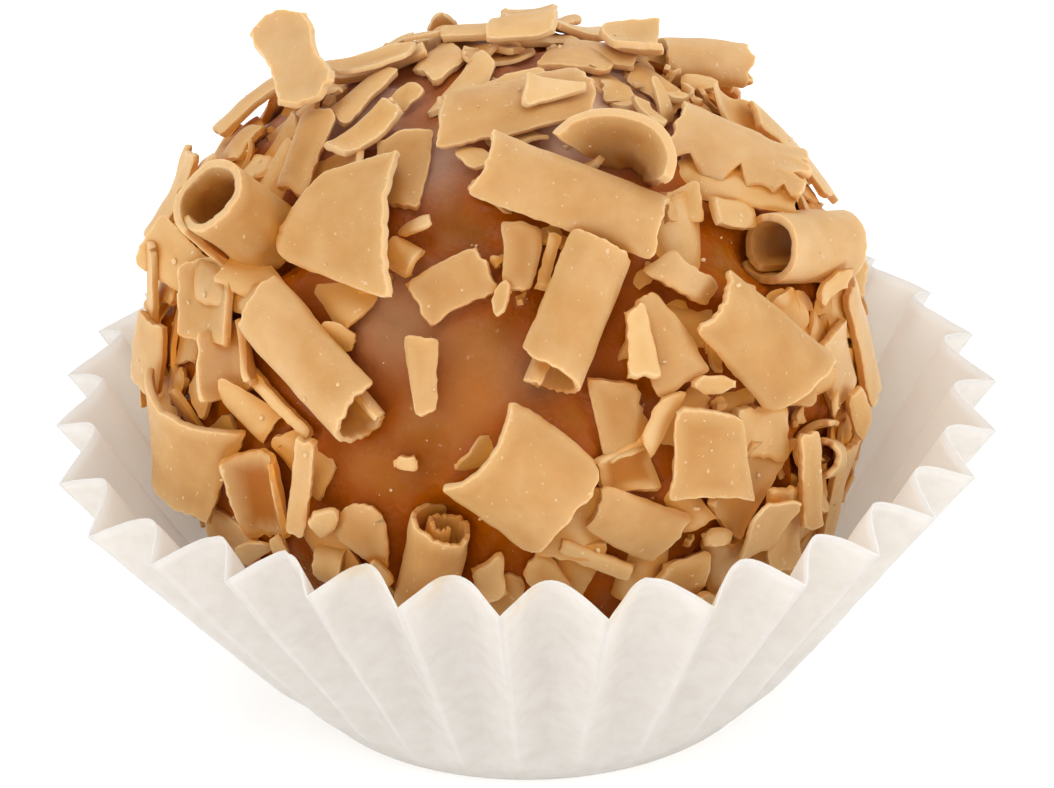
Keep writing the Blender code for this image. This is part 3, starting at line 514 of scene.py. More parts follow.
def chocolate(name, glow):
    """Milk-chocolate shavings.  glow: how far light goes into them, in mm."""
    mat, tree = new_material(name)
    n = Nodes(tree)
    where = n.add("ShaderNodeTexCoord").outputs["Object"]
    grain = n.attribute("grain").outputs["Vector"]
    tone = n.attribute("tone").outputs["Fac"]
    edge = n.attribute("edge").outputs["Fac"]
    painted_cavity_shade = n.attribute("painted_cavity_shade").outputs["Fac"]
    mottle = n.noise(where, 420.0, 3.0, 0.55)
    # tone makes whole shavings darker or lighter: partly their own colour, partly painted shade
    cloud = n.math("ADD", n.math("MULTIPLY", mottle, 0.6), n.math("MULTIPLY", tone, 0.4))
    body = n.ramp(cloud, [(0.20, (0.520, 0.245, 0.060)), (0.48, (0.640, 0.362, 0.128)), (0.80, (0.755, 0.505, 0.250))])
    pores = n.step(n.noise(where, 5200.0, 2.0, 0.6), 0.60, 0.74)
    body = n.mix(n.math("MULTIPLY", pores, 0.20), body, (0.56, 0.28, 0.085))
    # the faces grow lighter towards the edges, and the broken edge is lightest: partly the broken chocolate's own
    # lighter colour, partly a painted highlight along the rims
    rim_colour_and_highlight = n.math("ADD", edge, n.math("MULTIPLY", n.math("SUBTRACT", mottle, 0.5), 0.9))
    body = n.mix(n.step(rim_colour_and_highlight, 0.0, 0.85, 0.45, 0.0), body, (0.760, 0.505, 0.225))
    # the broken edge itself: its own lighter colour and a painted highlight
    torn = n.math("ADD", edge, n.math("MULTIPLY", n.math("SUBTRACT", n.noise(where, 3000.0, 2.0), 0.5), 0.25))
    body = n.mix(n.step(torn, 0.0, 0.17, 0.70, 0.0), body, (0.82, 0.59, 0.32))
    specks = n.step(n.noise(where, 3600.0, 1.0, 0.4), 0.715, 0.775)
    body = n.mix(n.math("MULTIPLY", specks, 0.55), body, (0.88, 0.71, 0.47))
    # painted shade and painted glow: among the shavings the colour turns darker, then a stronger orange, standing in
    # for the shade in the hollows and the light that comes through the shavings
    body = n.mix(n.step(painted_cavity_shade, 0.05, 0.42, 0.0, 0.84), body, (0.58, 0.243, 0.037))
    body = n.mix(n.step(painted_cavity_shade, 0.42, 0.82, 0.0, 1.0), body, (0.80, 0.360, 0.045))
    # painted shade down the hollows of cups and rolls
    body = n.mix(n.attribute("deep").outputs["Fac"], body, (0.43, 0.135, 0.006))
    body = n.mix(1.0, body, (0.905, 0.885, 0.885) if glow else (0.985, 0.96, 0.935), "MULTIPLY")
    shader = n.add("ShaderNodeBsdfPrincipled")
    n.link(body, shader.inputs["Base Color"])
    rough = n.math("ADD", n.math("MULTIPLY", n.noise(where, 1500.0, 2.0), 0.22), 0.40)
    n.link(rough, shader.inputs["Roughness"])
    shader.inputs["Specular IOR Level"].default_value = 0.24
    if glow:
        shader.inputs["Subsurface Weight"].default_value = 1.0
        shader.inputs["Subsurface Radius"].default_value = (1.0, 0.75, 0.40)
        shader.inputs["Subsurface Scale"].default_value = glow * MM
    shader.inputs["Sheen Weight"].default_value = 0.05
    shader.inputs["Sheen Roughness"].default_value = 0.45
    stretch = n.add("ShaderNodeMapping")
    stretch.inputs["Scale"].default_value = (0.6, 9.0, 1.0)
    n.link(grain, stretch.inputs["Vector"])
    lines = n.noise(stretch.outputs[0], 1.0, 3.0, 0.6)
    fuzz = n.noise(where, 6500.0, 3.0, 0.65)
    dimple = n.noise(where, 1300.0, 2.0, 0.5)
    height = n.math("ADD", n.math("MULTIPLY", lines, 0.20), n.math("MULTIPLY", fuzz, 0.30))
    height = n.math("ADD", height, n.math("MULTIPLY", dimple, 0.75))
    height = n.math("ADD", height, n.math("MULTIPLY", specks, 0.35))
    bump = n.add("ShaderNodeBump")
    bump.inputs["Strength"].default_value = 0.60
    bump.inputs["Distance"].default_value = 0.00007
    n.link(height, bump.inputs["Height"])
    n.link(bump.outputs[0], shader.inputs["Normal"])
    n.link(shader.outputs[0], n.add("ShaderNodeOutputMaterial").inputs[0])
    return mat


def fudge():
    mat, tree = new_material("fudge")
    n = Nodes(tree)
    where = n.add("ShaderNodeTexCoord").outputs["Object"]
    painted_cavity_shade = n.attribute("painted_cavity_shade").outputs["Fac"]
    broad = n.noise(where, 170.0, 3.0, 0.5)
    body = n.ramp(broad, [(0.38, (0.265, 0.066, 0.000)), (0.52, (0.305, 0.090, 0.003)), (0.66, (0.340, 0.130, 0.026))])
    bloom = n.step(n.noise(where, 620.0, 4.0, 0.6), 0.48, 0.72)
    body = n.mix(n.math("MULTIPLY", bloom, 0.24), body, (0.46, 0.205, 0.070))
    flecks = n.step(n.noise(where, 2600.0, 2.0, 0.5), 0.69, 0.76)
    body = n.mix(n.math("MULTIPLY", flecks, 0.35), body, (0.72, 0.46, 0.26))
    mauve_and_sheen, amber, pale_and_reflection = (n.attribute(key).outputs["Fac"] for key in ("mauve_and_sheen", "amber", "pale_and_reflection"))
    body = n.mix(n.math("MULTIPLY", amber, 0.80), body, (0.430, 0.135, 0.022))
    # painted shade: darker, redder fudge where it is closed in among the shavings
    body = n.mix(n.step(painted_cavity_shade, 0.05, 0.40, 0.0, 0.97), body, (0.33, 0.070, 0.000))
    # mauve patches where the fudge lies open: partly its own colour, partly painted light and a painted reflection of
    # the white surroundings
    body = n.mix(n.math("MULTIPLY", mauve_and_sheen, 0.85), body, (0.400, 0.200, 0.092))
    # paler patches up on the ball: partly lighter fudge, partly a painted reflection of the bright surroundings on the
    # glossy top
    body = n.mix(n.math("MULTIPLY", pale_and_reflection, 0.88), body, (0.600, 0.390, 0.275))
    shader = n.add("ShaderNodeBsdfPrincipled")
    n.link(body, shader.inputs["Base Color"])
    rough = n.step(n.noise(where, 420.0, 3.0), 0.36, 0.60, 0.13, 0.58)
    n.link(rough, shader.inputs["Roughness"])
    shader.inputs["Specular IOR Level"].default_value = 0.11
    shader.inputs["Subsurface Weight"].default_value = 0.6
    shader.inputs["Subsurface Radius"].default_value = (1.0, 0.60, 0.30)
    shader.inputs["Subsurface Scale"].default_value = 0.0004
    lumps = n.noise(where, 700.0, 4.0, 0.6)
    fine = n.noise(where, 3800.0, 3.0, 0.6)
    height = n.math("ADD", n.math("MULTIPLY", lumps, 1.0), n.math("MULTIPLY", fine, 0.16))
    bump = n.add("ShaderNodeBump")
    bump.inputs["Strength"].default_value = 0.55
    bump.inputs["Distance"].default_value = 0.00036
    n.link(height, bump.inputs["Height"])
    n.link(bump.outputs[0], shader.inputs["Normal"])
    n.link(shader.outputs[0], n.add("ShaderNodeOutputMaterial").inputs[0])
    return mat


def paper():
    mat, tree = new_material("case_paper")
    n = Nodes(tree)
    where = n.add("ShaderNodeTexCoord").outputs["Object"]
    crease = n.attribute("crease").outputs["Fac"]
    oil = n.attribute("oil").outputs["Fac"]
    inside = n.attribute("inside").outputs["Fac"]
    pulp = n.noise(where, 900.0, 4.0, 0.6)
    body = n.ramp(pulp, [(0.32, (0.850, 0.828, 0.790)), (0.52, (0.885, 0.868, 0.835)), (0.72, (0.910, 0.898, 0.872))])
    # painted light: the inner face is warmer and lighter, standing in for warm light bounced off the ball
    body = n.mix(n.math("MULTIPLY", inside, 0.85), body, (0.985, 0.945, 0.895))
    body = n.mix(n.math("MULTIPLY", crease, 0.7), body, (0.965, 0.955, 0.940))
    stain = n.math("MULTIPLY", oil, n.step(n.noise(where, 700.0, 3.0), 0.30, 0.62))
    body = n.mix(n.math("MULTIPLY", stain, 0.75), body, (0.86, 0.72, 0.50))
    shader = n.add("ShaderNodeBsdfPrincipled")
    n.link(body, shader.inputs["Base Color"])
    rough = n.math("ADD", n.math("MULTIPLY", pulp, 0.25), 0.62)
    n.link(rough, shader.inputs["Roughness"])
    shader.inputs["Specular IOR Level"].default_value = 0.22
    fibre = n.noise(where, 4200.0, 4.0, 0.65)
    cockle = n.noise(where, 330.0, 3.0, 0.5)
    height = n.math("ADD", n.math("MULTIPLY", fibre, 0.22), n.math("MULTIPLY", cockle, 1.0))
    bump = n.add("ShaderNodeBump")
    bump.inputs["Strength"].default_value = 0.40
    bump.inputs["Distance"].default_value = 0.00014
    n.link(height, bump.inputs["Height"])
    n.link(bump.outputs[0], shader.inputs["Normal"])
    through = n.add("ShaderNodeBsdfTranslucent")
    n.link(body, through.inputs["Color"])
    n.link(bump.outputs[0], through.inputs["Normal"])
    both = n.add("ShaderNodeMixShader")
    both.inputs[0].default_value = 0.46
    n.link(shader.outputs[0], both.inputs[1])
    n.link(through.outputs[0], both.inputs[2])
    n.link(both.outputs[0], n.add("ShaderNodeOutputMaterial").inputs[0])
    return mat


CHOCOLATE, CRUMB = chocolate("milk_chocolate", 0.40), chocolate("chocolate_crumb", 0.0)
FUDGE, PAPER = fudge(), paper()

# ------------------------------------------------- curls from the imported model
rng = np.random.default_rng(20)


def tree_of(points, faces):
    middle = points.mean(0)
    reach = float(np.linalg.norm(points - middle, axis=1).max())
    return BVHTree.FromPolygons(points.tolist(), faces.tolist()), middle, reach


proxies = []             # (tree, middle, reach) of everything laid so far
shell = []               # (points, faces) that close other things in


def tone_of(c, seed):
    """0 for a deeper brown shaving, 1 for a paler one.  Partly the shaving's own colour, and for some named shavings a
    painted shade, set low where they lie in shade.
    """
    return c.get("tone", 0.5 + 0.40 * float(mixed(np.array([seed]), np.array([3]), np.array([5]), 77)[0])) + c.get("paler", 0.0)


def placed(c, seed):
    """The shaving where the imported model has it, pressed in a little."""
    points, faces, edge, under, grain = curl_arrays(c, seed)
    shift = -direction(c["lon"], c["lat"]) * SINK
    if not c.get("own"):
        low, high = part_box(c["name"])
        target, size = np.array((low + high) / 2) / MM, np.array(high - low) / MM
        share = float(np.clip(np.median(size / (points.max(0) + 1e-9 - points.min(0))), 0.8, 1.0))
        middle = (points.max(0) + points.min(0)) / 2
        if share < 0.93:
            points = middle + (points - middle) * share
        shift = shift + target - middle
    points = points + shift
    medium, medium_faces, _, _, _ = curl_arrays(c, seed, res=0.35)
    medium = medium + (points.max(0) + points.min(0)) / 2 - (medium.max(0) + medium.min(0)) / 2
    proxies.append(tree_of(medium, medium_faces))
    shell.append((medium, medium_faces))
    body = Body(points, faces, edge, under, grain, tone_of(c, seed))
    # painted shade down the hollow side
    hollow_side = under if c["bend"] > 0 else 1.0 - under
    body.deep = c.get("deep", 0.0) * hollow_side * smooth(edge, 0.15, 1.3)
    return body


named = [(c, placed(c, 100 + k * 17)) for k, c in enumerate(CURLS + back_curls())]


# ---------------------------------------------------------------- the ball
def make_ball():
    bm = bmesh.new()
    bmesh.ops.create_icosphere(bm, subdivisions=6, radius=1.0)
    d = np.array([v.co.normalized() for v in bm.verts])
    faces = np.array([[v.index for v in f.verts] for f in bm.faces])
    bm.free()
    radius = coat_radius(d) - 0.38 + 0.28 * noise(d, 0.34, 3) + 0.15 * noise(d, 0.13, 8) + 0.05 * noise(d, 0.06, 12)
    radius = radius - 0.1 * smooth(-d[:, 2], 0.2, 0.35)
    # it swells up to the underside of the slabs pressed into it
    for c in SLABS:
        out = direction(c["lon"], c["lat"])
        if c.get("pitch", 0) > 30 or c.get("own"):
            continue
        along, across, up, _ = curl_axes(c)
        rel = d * radius[:, None] + BALL - crest_of(c)
        u, v, w = rel @ along, rel @ across, rel @ up
        inside = (smooth(c["width"] / 2 + 0.25 - np.abs(u), 0.0, 0.9)
                  * smooth(min(c["sheet"] / 2, c["bend"] * 0.9) + 0.25 - np.abs(v), 0.0, 0.9) * (w > -6) * (w < 1.5))
        bent_down = c["bend"] - np.sqrt(np.maximum(c["bend"] ** 2 - v ** 2, 0.01))
        radius = radius + np.clip(-0.60 - SINK - bent_down - w, 0.0, 0.45) * inside
    # and it gives way under the rolls
    for c in ROLLS:
        along, across, up, _ = curl_axes(c)
        rel = d * radius[:, None] + BALL - crest_of(c)
        u, v, w = rel @ along, rel @ across, rel @ up
        gap = np.hypot(v, w + c["bend"]) - c["bend"] - 0.02
        beyond = np.clip(1.0 - (np.abs(u) - c["width"] / 2 - 0.1) / 1.3, 0.0, 1.0)
        radius = radius + np.where(gap < 0.0, np.clip(gap, -1.2, 0.0) * beyond, 0.0)
    points = d * radius[:, None] + BALL
    points[:, 2] = np.maximum(points[:, 2], 0.62 + 0.05 * noise(points, 2.0, 31))
    return points, faces


ball_points, ball_faces = make_ball()
shell.append((ball_points, ball_faces))

# --------------------------------------------------------- lesser shavings
lesser = []


def pokes_out(points):
    """True when a piece would touch the wall of the case."""
    reach = np.hypot(points[:, 0] - CASE_SHIFT[0], points[:, 1] - CASE_SHIFT[1])
    wall = 11.6 + np.clip(points[:, 2], 0, 17) * math.tan(math.radians(29.5))
    return bool(((reach > wall - 0.35) & (points[:, 2] < 16.5)).any() or points[:, 2].min() < 0.5)


def lay(c, seed, lifts=(0.0, 0.25, 0.5, 0.8, 1.1), must=True, res=RES, against=None):
    """Adds a lesser shaving, lifted a little if something is in its way."""
    out = direction(c["lon"], c["lat"])
    coarse, coarse_faces, _, _, _ = curl_arrays(c, seed, res=0.5)
    if c["name"] == "s" and pokes_out(coarse):
        return False
    found = None
    for lift in lifts:
        moved = coarse + out * (lift - SINK)
        tree, middle, reach = tree_of(moved, coarse_faces)
        if not any(np.linalg.norm(middle - m) < reach + r and tree.overlap(t)
                   for t, m, r in (proxies if against is None else proxies[:against])):
            found = (lift, moved, tree, middle, reach)
            break
    if found is None:
        if not must:
            return False
        moved = coarse - out * SINK
        found = (0.0, moved, *tree_of(moved, coarse_faces))
    lift, moved, tree, middle, reach = found
    proxies.append((tree, middle, reach))
    shell.append((moved, coarse_faces))
    points, faces, edge, under, grain = curl_arrays(c, seed, res=res)
    body = Body(points + out * (lift - SINK), faces, edge, under, grain, tone_of(c, seed))
    # painted shade down the hollow side
    if c.get("deep"):
        body.deep = c["deep"] * (under if c["bend"] > 0 else 1.0 - under) * smooth(edge, 0.1, 0.7)
    lesser.append(body)
    return True


named_count = len(proxies)
for k, c in enumerate(LESSER):
    lay(c, 900 + 13 * k)
fixed = len(proxies)

# bare fudge shows in these places: (lon, lat, reach in degrees)
WINDOWS = [(251, 30, 10), (262, 53, 8), (266, 27, 10), (259, 16, 11), (243, 8, 7), (330, 82, 6), (262, 36, 5),
           (190, 66, 4), (248, 60, 5), (60, 20, 8), (120, 35, 7), (95, 60, 7), (150, 10, 6),
           (338, 33, 9), (210, 34, 9), (328, 36, 9), (329, 43, 6), (318, 57, 9), (320, 72, 7), (284, 66, 5), (188, 67, 7), (222, 72, 6)]


def open_here(lon, lat):
    d = direction(lon, lat)
    return any(math.degrees(math.acos(np.clip(d @ direction(a, b), -1, 1))) < r for a, b, r in WINDOWS)


spots = []


def on_top(c):
    """True when a named piece lies under the middle of a shaving."""
    d = direction(c["lon"], c["lat"])
    spot = BALL + d * (coat_radius(d) + c["rise"] + 0.9)
    for tree, middle, reach in proxies[:fixed]:
        if np.linalg.norm(spot - middle) < reach + 1.0 and tree.ray_cast(Vector(spot), Vector(-d), 2.2)[0] is not None:
            return True
    return False


def scatter(count, size_low, size_high, lat_low, lat_high, tries, lifts, rise, tilt, against=None, front=1.0,
            lons=(0, 360), space=0.30):
    """front: the share of them kept on the side with the big curls."""
    made = 0
    for k in range(tries):
        if made >= count:
            break
        lon = rng.uniform(*lons)
        lat = math.degrees(math.asin(rng.uniform(math.sin(math.radians(lat_low)), math.sin(math.radians(lat_high)))))
        size = size_low + (size_high - size_low) * rng.random() ** 1.6
        row = curl("s", lon, lat, rng.uniform(0, 180), size, size * rng.uniform(0.4, 0.9),
                   float(rng.choice([-3.0, 1.6, 2.5, 4.0])), rise + rng.uniform(-0.1, 0.35),
                   pitch=rng.uniform(-tilt, tilt), lean=rng.uniform(-tilt, tilt) * 1.3, skew=rng.uniform(-0.6, 0.6),
                   taper=rng.uniform(-0.3, 0.3), fan=rng.uniform(-0.25, 0.25), twist=rng.uniform(-20, 20),
                   thick=rng.uniform(0.28, 0.5), rag=(0.08, 0.12, 0.16, 0.16),
                   chip=tuple(rng.uniform(0.0, 0.35, 4)), tone=rng.uniform(0.1, 1.0))
        lean_less = 0.35 if lat > 62 else 1.0
        row["pitch"], row["lean"] = row["pitch"] * lean_less, row["lean"] * lean_less
        if open_here(lon, lat) or (185 < lon < 350 and lat < 80 and not (lon > 292 and lat < 30)
                                  and rng.random() > (front if lat < 66 else 0.4 + 0.6 * front)):
            continue
        if against == fixed and on_top(row):
            continue
        spot = direction(lon, lat) * 17.0
        if any(np.linalg.norm(spot - other) < space * (size + wide) for other, wide in spots):
            continue
        if lay(row, 3000 + k, lifts=lifts, must=False, res=0.24 if size < 2.6 else 0.32, against=against):
            made += 1
            spots.append((spot, size))
    return made


sorts = [len(lesser)]
n_under = scatter(215, 3.2, 6.2, -34, 85, 1500, (-0.1, 0.1), 0.30, 10, against=named_count, front=0.55)
sorts.append(len(lesser))
n_mid = scatter(165, 2.6, 5.0, -34, 84, 2400, (0.0, 0.3, 0.6), 0.55, 20, against=fixed, front=0.18)
n_lean = scatter(150, 1.8, 3.6, -34, 86, 2400, (0.0, 0.3, 0.6), 0.65, 34, against=fixed, front=0.18)
# the crust is closest along the right-hand edge
n_edge = scatter(60, 2.2, 4.2, -26, 42, 1500, (0.0, 0.25), 0.35, 14, against=named_count, lons=(322, 366), space=0.17)
n_left = scatter(24, 2.2, 4.0, -20, 50, 900, (0.0, 0.25), 0.35, 14, against=named_count, lons=(165, 200), space=0.17)
sorts.append(len(lesser))
n_small = scatter(190, 0.8, 1.8, -34, 86, 3000, (0.0, 0.25), 0.35, 25, against=fixed, front=0.18)
print("scattered", n_under, n_mid, n_lean, n_edge, n_left, n_small)


# ------------------------------------------------------------------ crumbs
def make_crumbs(count):
    bm = bmesh.new()
    bmesh.ops.create_icosphere(bm, subdivisions=1, radius=1.0)
    unit = np.array([v.co[:] for v in bm.verts])
    faces = np.array([[v.index for v in f.verts] for f in bm.faces])
    bm.free()
    made = []
    ball_tree = BVHTree.FromPolygons(ball_points.tolist(), ball_faces.tolist())
    for k in range(count):
        lon = rng.uniform(0, 360)
        lat = math.degrees(math.asin(rng.uniform(-0.5, 1.0)))
        d = direction(lon, lat)
        start = Vector(BALL + d * 26.0)
        best = ball_tree.ray_cast(start, Vector(-d))
        for tree, middle, reach in proxies:
            rel = middle - BALL
            if rel @ d < 0 or np.linalg.norm(rel - d * (rel @ d)) > reach:
                continue
            hit = tree.ray_cast(start, Vector(-d))
            if hit[0] is not None and (best[0] is None or hit[3] < best[3]):
                best = hit
        if best[0] is None:
            continue
        size = 0.035 + 0.13 * rng.random() ** 4
        shape = unit * rng.uniform(0.5, 1.4, 3) * size * (1.0 + 0.3 * noise(unit + k * 3.3, 0.9, 60))[:, None]
        turn = np.array(Matrix.Rotation(rng.uniform(0, 6.28), 3, Vector(rng.normal(size=3)).normalized()))
        points = shape @ turn.T + np.array(best[0]) + np.array(best[1]) * size * 0.25
        made.append(Body(points, faces, np.full(len(points), 0.05), np.zeros(len(points)), points, 0.9))
    return joined(made)


crumbs = make_crumbs(650)

# ----------------------------------------------- how closed in each place is, for the painted shade
starts = np.cumsum([0] + [len(p) for p, _ in shell[:-1]])
everything = BVHTree.FromPolygons(np.concatenate([p for p, _ in shell]).tolist(),
                                  [f for (_, fs), k in zip(shell, starts) for f in (fs + k).tolist()])


def normals_of(points, faces):
    total = np.zeros_like(points)
    a, b, c = points[faces[:, 0]], points[faces[:, 1]], points[faces[:, 2]]
    face = np.cross(b - a, c - a)
    for k in range(faces.shape[1]):
        np.add.at(total, faces[:, k], face)
    return total / (np.linalg.norm(total, axis=1, keepdims=True) + 1e-12)


def enclosure(points, faces, reach=4.5, rays=7, start=0.10):
    """0 in the open, 1 well in among the shavings; it sets the painted shade and glow."""
    normal = normals_of(points, faces)
    helper = np.where(np.abs(normal[:, 2:3]) < 0.9, np.array([[0.0, 0.0, 1.0]]), np.array([[1.0, 0.0, 0.0]]))
    side = np.cross(normal, helper)
    side /= np.linalg.norm(side, axis=1, keepdims=True)
    other = np.cross(normal, side)
    result = np.zeros(len(points))
    origin = points + normal * start
    for k in range(rays):
        lean = 0.25 + 0.85 * ((k * 0.618) % 1.0)
        spin = 2 * math.pi * (k / rays)
        ray = normal * math.cos(lean) + (side * math.cos(spin) + other * math.sin(spin)) * math.sin(lean)
        for i, (o, r) in enumerate(zip(origin.tolist(), ray.tolist())):
            hit = everything.ray_cast(o, r, reach)
            if hit[0] is not None:
                result[i] += 1.0 - 0.6 * hit[3] / reach
    return result / rays


def evened(values, faces, times=2):
    for _ in range(times):
        total, share = values.copy(), np.ones(len(values))
        for a, b in ((0, 1), (1, 2), (2, 0)):
            np.add.at(total, faces[:, a], values[faces[:, b]])
            np.add.at(share, faces[:, a], 1.0)
            np.add.at(total, faces[:, b], values[faces[:, a]])
            np.add.at(share, faces[:, b], 1.0)
        values = total / share
    return values


for body in [b for _, b in named] + lesser:
    # less of the painted warm shade up on the crown, which is lighter
    crown = smooth((body.points[:, 2] - BALL[2]) / COAT_HALF_HEIGHT, 0.74, 0.95)
    body.painted_cavity_shade = evened(enclosure(body.points, body.faces, rays=5), body.faces, 3) * (1 - 0.6 * crown)
# and the painted shade on the fudge among the shavings
ball_cavity_shade = evened(enclosure(ball_points, ball_faces), ball_faces, 2)

for c, body in named:
    piece = shaving(c["name"].replace("curl_", "shaving_"), body, CHOCOLATE)
    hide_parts(c["name"])
    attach(piece, "root")


def near_to(spots):
    """1 close to any of the (lon, lat, reach in degrees) places on the ball, 0 far away."""
    out = ball_points - BALL
    out = out / np.linalg.norm(out, axis=1, keepdims=True)
    total = np.zeros(len(out))
    for lon, lat, reach in spots:
        away = np.degrees(np.arccos(np.clip(out @ direction(lon, lat), -1, 1)))
        total = np.maximum(total, np.exp(-(away / reach) ** 2))
    return total


# the mauve and pale patches are partly the fudge's colour, partly painted light and reflection
ball = mesh_piece("fudge_skin", ball_points, ball_faces, {
    "painted_cavity_shade": ball_cavity_shade,
    "mauve_and_sheen": near_to([(247, 34, 9), (275, 26, 5), (120, 35, 9), (30, 20, 8)]),
    "amber": near_to([(264, 22, 8), (243, 8, 6), (95, 10, 9), (150, 30, 8)]),
    "pale_and_reflection": near_to([(330, 80, 9), (190, 66, 9), (240, 64, 7), (325, 72, 11), (300, 68, 6), (20, 66, 9), (160, 52, 9), (95, 60, 9)])}, FUDGE)
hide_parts("fudge_ball")
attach(ball, "root")
a, b, c = sorts
for name, bodies, mat in (("under_shavings", joined(lesser[:a] + lesser[a:b]), CRUMB),
                          ("loose_shavings", joined(lesser[b:c]), CRUMB),
                          ("small_flakes", joined(lesser[c:]), CRUMB), ("crumbs", crumbs, CRUMB)):
    piece = shaving(name, bodies, mat)
    print(name, sum(len(f) - 2 for f in bodies.faces))
    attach(piece, "root")

# --------------------------------------------------------------- the case
FLUTES = 30
BASE_RADIUS, FOLD_BASE_RADIUS, SLANT = 12.2, 11.8, 18.9
CREASE_FLARE, FOLD_FLARE, FIRST_CREASE, PLEAT_DRIFT = 36.8, 30.8, 170.7, 1.2
FLARE_BUMPS = ((206, 21, 4.3), (255, 28, -2.2), (320, 45, 0.9), (95, 40, 1.5))
THIN = 0.12              # the paper's thickness
COLUMNS = 18             # per flute
SOLE_ROWS, WALL_ROWS = 8, 40


def make_case():
    count = FLUTES * COLUMNS
    t = np.arange(count) / COLUMNS
    angle = FIRST_CREASE + 360.0 * t / FLUTES
    angle = angle + PLEAT_DRIFT * np.sin(np.radians(4.0 * (angle - 276.0)))
    # 0 on the sharp outer crease, 1 on the rounded inner fold
    tri = np.abs((t + 0.5) % 1.0 - 0.5) * 2.0
    away_sharp = tri
    away_round = np.sin(tri * math.pi / 2.0) ** 1.15
    extra = np.zeros(count)
    for at, half, size in FLARE_BUMPS:
        gone = (angle - at + 180.0) % 360.0 - 180.0
        extra += size * np.exp(-((gone / half) ** 2) * 1.4)
    turn = np.radians(angle)
    pleat = np.floor(t + 0.5) % FLUTES
    uneven = mixed(pleat.astype(int), np.full(count, 4), np.full(count, 9), 91) * 0.35
    rows = []
    heel = 1.3
    for i in range(SOLE_ROWS):
        r = (BASE_RADIUS - heel) * (i + 1) / SOLE_ROWS
        rows.append((np.full(count, r), np.zeros(count), np.zeros(count)))
    for i in range(WALL_ROWS + 1):
        row = (i / WALL_ROWS) ** 1.25
        run = SLANT * row
        soft_fold = smooth(np.array(run), 4.0, SLANT)
        away = away_sharp + (away_round - away_sharp) * (0.35 + 0.65 * soft_fold)
        flare = np.radians(CREASE_FLARE + (FOLD_FLARE - CREASE_FLARE) * away + extra + uneven * away)
        start = BASE_RADIUS + (FOLD_BASE_RADIUS - BASE_RADIUS) * away
        wall_r, wall_z = start + run * np.sin(flare), run * np.cos(flare)
        mean_r, mean_z = 12.0 + run * math.sin(math.radians(34)), run * math.cos(math.radians(34))
        flute = smooth(np.array(run), 0.2, 3.6)
        radius = mean_r + (wall_r - mean_r) * flute
        z = mean_z + (wall_z - mean_z) * flute
        soft = math.exp(-run / 0.8)
        radius = radius - 0.42 * soft
        z = z + 0.10 * soft * (1 - math.exp(-run / 0.3)) + 0.03 * (1 - math.exp(-run / 0.2))
        rows.append((radius, z, np.full(count, row)))
    grid = np.stack([np.stack([r * np.cos(turn) + CASE_SHIFT[0], r * np.sin(turn) + CASE_SHIFT[1], z], -1)
                     for r, z, _ in rows])
    rowness = np.stack([row for _, _, row in rows])
    radial = np.stack([np.cos(turn), np.sin(turn), np.zeros(count)], -1)
    cockle = (0.12 * noise(grid, 5.0, 21) + 0.04 * noise(grid, 1.6, 22)) * smooth(rowness, 0.0, 0.25)
    grid = grid + radial[None] * cockle[..., None]
    grid[-1, :, 2] += 0.05 * noise(grid[-1], 0.9, 24)
    d_row = np.gradient(grid, axis=0)
    d_col = np.roll(grid, -1, 1) - np.roll(grid, 1, 1)
    normal = np.cross(d_col, d_row)
    normal /= np.linalg.norm(normal, axis=-1, keepdims=True) + 1e-12
    if (normal[-5] * radial).sum() < 0:
        normal = -normal
    inner = grid - normal * THIN
    inner[..., 2] = np.maximum(inner[..., 2], THIN * 0.9)
    outer = grid.copy()
    outer[..., 2] = np.maximum(outer[..., 2], 0.0)
    nr = grid.shape[0]
    index = np.arange(nr * count).reshape(nr, count)
    nxt = np.roll(index, -1, 1)
    quads = np.stack([index[:-1], nxt[:-1], nxt[1:], index[1:]], -1).reshape(-1, 4)
    total = nr * count
    points = np.concatenate([outer.reshape(-1, 3), inner.reshape(-1, 3),
                             [[CASE_SHIFT[0], CASE_SHIFT[1], 0.0], [CASE_SHIFT[0], CASE_SHIFT[1], THIN]]])
    faces = quads.tolist() + (quads[:, ::-1] + total).tolist()
    top, top_next = index[-1], nxt[-1]
    faces += np.stack([top, top_next, top_next + total, top + total], -1).tolist()
    faces += [[2 * total, int(b), int(a)] for a, b in zip(index[0], nxt[0])]
    faces += [[2 * total + 1, int(a) + total, int(b) + total] for a, b in zip(index[0], nxt[0])]
    crease = np.exp(-(tri / 0.055) ** 2)[None] * smooth(rowness, 0.03, 0.2) * np.ones((nr, 1))
    crease = np.maximum(crease * 0.8, np.exp(-(1.0 - rowness) * SLANT / 0.16) * 0.9)
    lon = np.degrees(turn) % 360.0
    oil = np.zeros((nr, count))
    for at, drop, size in ((246.5, 0.95, 1.0), (257.5, 0.96, 1.0), (269.0, 0.975, 0.9), (281.0, 0.97, 0.9), (293.0, 0.98, 0.5)):
        off = ((lon - at + 180) % 360 - 180) / 1.9
        oil = np.maximum(oil, size * np.exp(-off ** 2)[None] * np.exp(-((rowness - 1.0) / 0.05) ** 2))
    both = lambda values: np.concatenate([values.reshape(-1), values.reshape(-1), [0.0, 0.0]])
    piece = mesh_piece("paper_cup", points, faces, {
        "crease": both(crease), "oil": both(oil),
        "inside": np.concatenate([np.zeros(total), np.ones(total), [0.0, 1.0]])}, PAPER)
    bm = bmesh.new()
    bm.from_mesh(piece.data)
    bmesh.ops.recalc_face_normals(bm, faces=bm.faces)
    bm.to_mesh(piece.data)
    bm.free()
    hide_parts("paper_case")
    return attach(piece, "root")


case = make_case()

